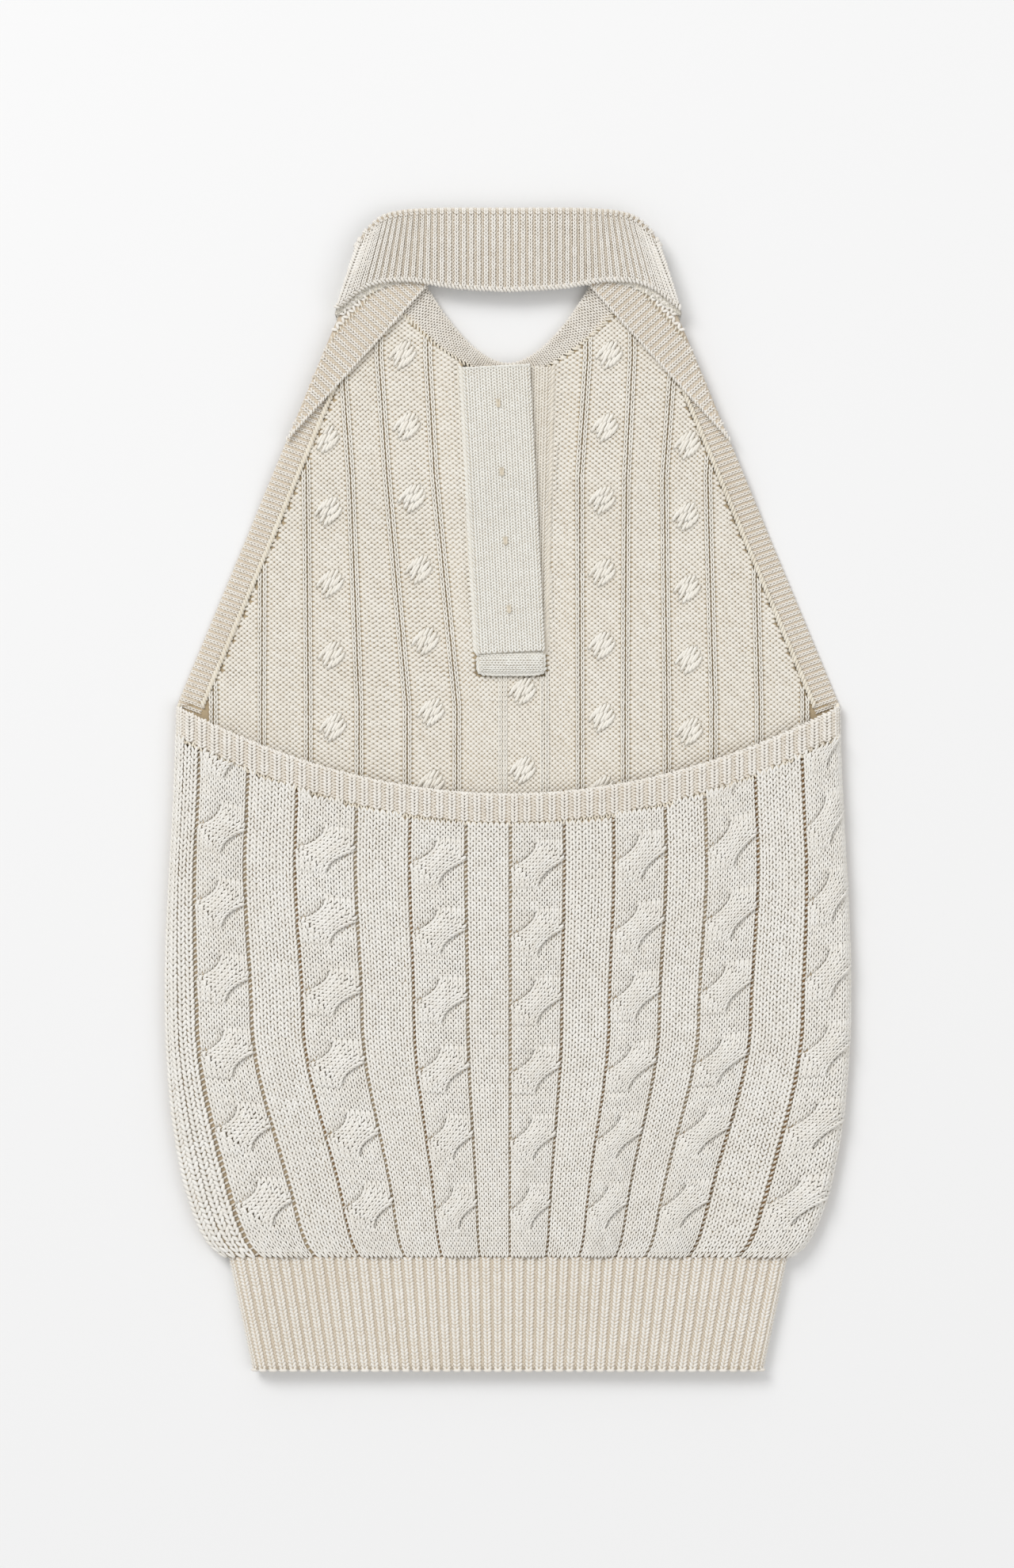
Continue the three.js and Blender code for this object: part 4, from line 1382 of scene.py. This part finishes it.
def neckband_ground():
    top = neck_surface(*meshed(np.linspace(-1, 1, 100), np.linspace(0, 1, 8)), 0.8)
    bottom = top.copy()
    bottom[..., 2] = neck_lift + 0.05
    top[..., 2] = np.maximum(top[..., 2], neck_lift + 0.6)
    return slab("neckband_fabric", top, bottom, "garment", rib_gap_shade)


# ---- Placket ----

def band_grid(turn, rest, across, up, z):
    x, y = on_band(across, up, turn)
    return grid_of(x, y, lift(y) + rest + z)


def placket():
    made, stitched = {}, {}
    upper = band_rest + band_knit + gap
    for name, turn, rest in (
        ("buttonhole", buttonhole_band_lean, band_rest),
        ("button", button_band_lean, upper),
    ):
        a, u = meshed(np.linspace(-band_width / 2, band_width / 2, 20), np.linspace(-2, placket_length + 8, 60))
        top = band_grid(turn, rest, a, u, band_knit - 0.8)
        bottom = band_grid(turn, rest, a, u, 0.05)
        made[name] = slab(f"{name}_band_fabric", top, bottom, "garment", placket_gap_shade)
        sewn = Stitches()
        count = 11
        across = ((np.arange(count) + 0.5) / count - 0.5) * (band_width - 3)
        if name == "buttonhole":
            across = across[across > band_width / 2 - 16]
        grid = band_grid(turn, rest, *meshed(across, np.arange(-1.0, placket_length + 7.5, 1.75)), band_knit - 0.55)
        sewn.lattice(grid, depth=1.2, grow=(1, 1.05))
        edges = (band_width / 2 - 0.6,) if name == "buttonhole" else (-band_width / 2 + 0.6, band_width / 2 - 0.6)
        line = np.linspace(-1, placket_length + 7, 90)
        for edge in edges:
            path = band_grid(turn, rest, edge, line, band_knit - 0.7)
            sewn.rope(path, 2.3, spacing=2.2, slant=28 if edge > 0 else -28)
        # the rolled selvedge, which fills the step down to the front
        edge = -band_width / 2 - 0.9 if name == "button" else band_width / 2 + 0.9
        path = band_grid(turn, rest - 0.5 if name == "button" else rest, edge, line, 1.1)
        sewn.rope(path, 4.4, spacing=2.6, slant=32 if edge > 0 else -32, tone=0.15)
        if name == "button":
            line = np.linspace(-band_width / 2 + 1, band_width / 2 - 1, 40)
            path = band_grid(turn, rest, line, placket_length + 7.4, band_knit - 0.6)
            sewn.rope(path, 2.4, spacing=2.2, slant=20)
        stitched[name] = sewn.sew(f"{name}_band_stitches", "garment", "placket_knit",
                                  placket_yarn if name == "button" else inside_yarn, Rings=3, most=4000)
    return made, stitched


def tack_fold():
    """The placket's foot, rolled and sewn down."""
    u = np.linspace(-tack_width / 2, tack_width / 2, 30)[:, None]
    angle = np.linspace(0, math.pi, 16)[None, :]
    y0 = placket_foot_y - band_dip - gap - tack_height / 2
    half = tack_height / 2
    soft = 1 - 0.1 * np.abs(2 * u / tack_width) ** 4
    y = y0 - half * np.cos(angle) * soft
    z = knit + gap + tack_thickness * np.sin(angle) ** 0.6 * soft
    x = placket_foot_x + u + 0 * angle
    top = grid_of(x, y, np.maximum(z - 0.9, knit + gap + 0.25))
    bottom = grid_of(x, y, knit + gap)
    ground = slab("placket_tack_fabric", top, bottom, "garment", placket_gap_shade)
    sewn = Stitches()
    u = np.arange(-tack_width / 2 + 1, tack_width / 2, 1.9)[None, :]
    angle = np.radians(np.linspace(14, 166, 7))[:, None]
    soft = 1 - 0.1 * np.abs(2 * u / tack_width) ** 4
    y = y0 - (half - 0.4) * np.cos(angle) * soft
    z = knit + gap + (tack_thickness - 0.6) * np.sin(angle) ** 0.6 * soft
    grid = grid_of(placket_foot_x + u, y, z)
    sewn.lattice(grid, depth=1.4)
    turn = np.linspace(-0.5 * math.pi, 1.5 * math.pi, 120)
    round_x = np.sign(np.cos(turn)) * np.abs(np.cos(turn)) ** 0.35 * (tack_width / 2 + 0.6)
    round_y = np.sign(np.sin(turn)) * np.abs(np.sin(turn)) ** 0.35 * (half - 0.4)
    sewn.rope(grid_of(placket_foot_x + round_x, y0 + round_y, knit + gap + 1.4), 3.4, spacing=2.3, slant=24)
    sewn.sew("placket_tack_stitches", "garment", "placket_knit", placket_yarn)
    return ground


def button_threads():
    """Cross-wound thread: what lies on the inner band, the shank, and the stitches in the button's holes."""
    made = []
    top = band_rest + 2 * band_knit + gap
    way = np.array([-math.sin(button_band_lean), math.cos(button_band_lean), 0])
    side = np.array([math.cos(button_band_lean), math.sin(button_band_lean), 0])
    for i in range(button_count):
        x, y = on_band(0, placket_length - first_button_drop - i * button_spacing, button_band_lean)
        z = float(lift(y))
        sewn = Stitches()
        for off in (-0.75, 0.0, 0.75):
            sewn.strand(side * off + (x, y, z + top + 0.45), way + side * off * 0.1, (0.9, 4.6, 0.9), 0.25)
        for a in (-1.1, 1.1):
            for b in (-1.1, 1.1):
                for level in np.arange(0.8, top, 1.4):
                    sewn.strand(side * a + way * b + (x, y, z + level), UP, (0.85, 1.7, 0.85), 0.25, facing=side)
            sewn.strand(side * a + (x, y, z + 0.3), way, (0.8, 2.7, 0.35), 0.25)
        made += sewn.sew(f"button_{i + 1}_thread_strands", f"sewn_button_{i + 1}", "seam_yarn", seam_yarn)
    return made


# ---- Making and riding ----

def laid(node_names):
    """Hides the model's parts that the knitted sheets stand in for."""
    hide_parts(*node_names)


back_stitches = knit_back()
back = back_ground()
laid(["back_panel"])

hem_stitches = knit_hem()
hem_back = hem_ground("back_hem_fabric", back_bottom, back_top, True)
hem_front = hem_ground("front_hem_fabric", 0, knit, False)
laid(["back_hem_rib"])
laid(["front_hem_rib"])

scoop_stitches = knit_scoop()
scoop = scoop_ground()
laid(["back_neckline_binding"])
scoop_link = scoop_seam()
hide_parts("back_neckline_seam")

front_stitches = knit_front()
front_parts = front_ground()
side_stitches = knit_front_sides()
laid(["front_panel"])
for part in front_parts[1:]:
    laid([])

for side, label in sides:
    stitches, linking = knit_armhole(side, label)
    bands = armhole_ground(side, label)
    laid([f"armhole_binding_{label}"])
    laid([])
    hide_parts(f"armhole_seam_{label}")

collar_stitches = knit_collar()
collar = collar_ground()
stand, *leaves = stand_and_leaves()
laid(["collar_stand"])
for part, (_, label) in zip(leaves, sides):
    laid([f"collar_leaf_{label}"])

for zone, sign in (("middle", 0), ("left", -1), ("right", 1)):
    for part in [collar[zone]] + collar_stitches[zone]:
        if sign == 0:
            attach(part, "collar_back_fall")
        else:
            y = (neck_y + 10 - fold_y / 2) * 0.001
            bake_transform(part)
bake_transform(collar["fold"])
laid(["collar_fall"])
for zone in ("left", "right"):
    laid([])

neck_stitches, neck_link = knit_neckband()
neck = neckband_ground()
laid(["neckband"])
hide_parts("collar_seam")

bands, band_stitches = placket()
laid(["button_band"])
laid(["buttonhole_band"])
tack_ground = tack_fold()
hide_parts("placket_bottom_tack")
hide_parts("placket_seam_left")
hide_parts("placket_seam_right")
for i, thread in enumerate(button_threads()):
    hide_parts(f"button_thread_{i + 1}")

for side, label in sides:
    seam = Stitches()
    y = np.linspace(1, underarm_y, 260)
    seam.rope(grid_of(side * (outline(y) - 1.6), y, middle - 0.6), 3.0, spacing=2.6, slant=25, up=(side, 0, 0.6))
    seam_stitches = seam.sew(f"side_seam_stitches_{label}", "garment", "seam_yarn", seam_yarn)
    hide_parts(f"side_seam_{label}")

for name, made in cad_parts.items():
    if made.hide_render:
        continue
    made.data.materials.clear()
    made.data.materials.append(button_cream if name.startswith("button_") else seam_yarn)

# ---- Floor, light and camera ----

floor_mesh = bpy.data.meshes.new("floor")
floor_reach, floor_level = 3.0, -0.0004
corners = ((-1, -1), (1, -1), (1, 1), (-1, 1))
floor_mesh.from_pydata([(a * floor_reach, b * floor_reach, floor_level) for a, b in corners], [], [(0, 1, 2, 3)])
floor = bpy.data.objects.new("floor", floor_mesh)
in_scene(floor)
paper = bpy.data.materials.new("Pale floor")
paper.use_nodes = True
fill(paper.node_tree.nodes["Principled BSDF"], {"Base Color": (0.86, 0.86, 0.86, 1), "Roughness": 0.9})
floor_mesh.materials.append(paper)


def soft_light(name, place, aim, size, power):
    lamp = bpy.data.lights.new(name, "AREA")
    lamp.size = size
    lamp.energy = power
    made = bpy.data.objects.new(name, lamp)
    made.location = place
    way = np.array(aim) - np.array(place)
    made.rotation_mode = "QUATERNION"
    made.rotation_quaternion = Vector(way).to_track_quat("-Z", "Y")
    in_scene(made)


soft_light("key light", (-2.2, 2.8, 4.0), (0, 0, 0), 2.4, 144)
soft_light("fill light", (2.8, -1.2, 4.8), (0, 0, 0), 4.4, 64)
world = bpy.data.worlds.new("studio")
bpy.context.scene.world = world
world.use_nodes = True
fill(world.node_tree.nodes["Background"], {"Color": (1, 1, 1, 1), "Strength": 0.56})
bpy.context.scene.view_settings.view_transform = "Standard"

camera_data = bpy.data.cameras.new("camera")
camera_data.lens = 110
camera_data.sensor_width = 36
camera = bpy.data.objects.new("camera", camera_data)
view_height = 0.891
camera.location = (-0.0007, 0.0032, 0.012 + view_height * camera_data.lens / camera_data.sensor_width)
camera_data.clip_end = 20
in_scene(camera)
bpy.context.scene.camera = camera
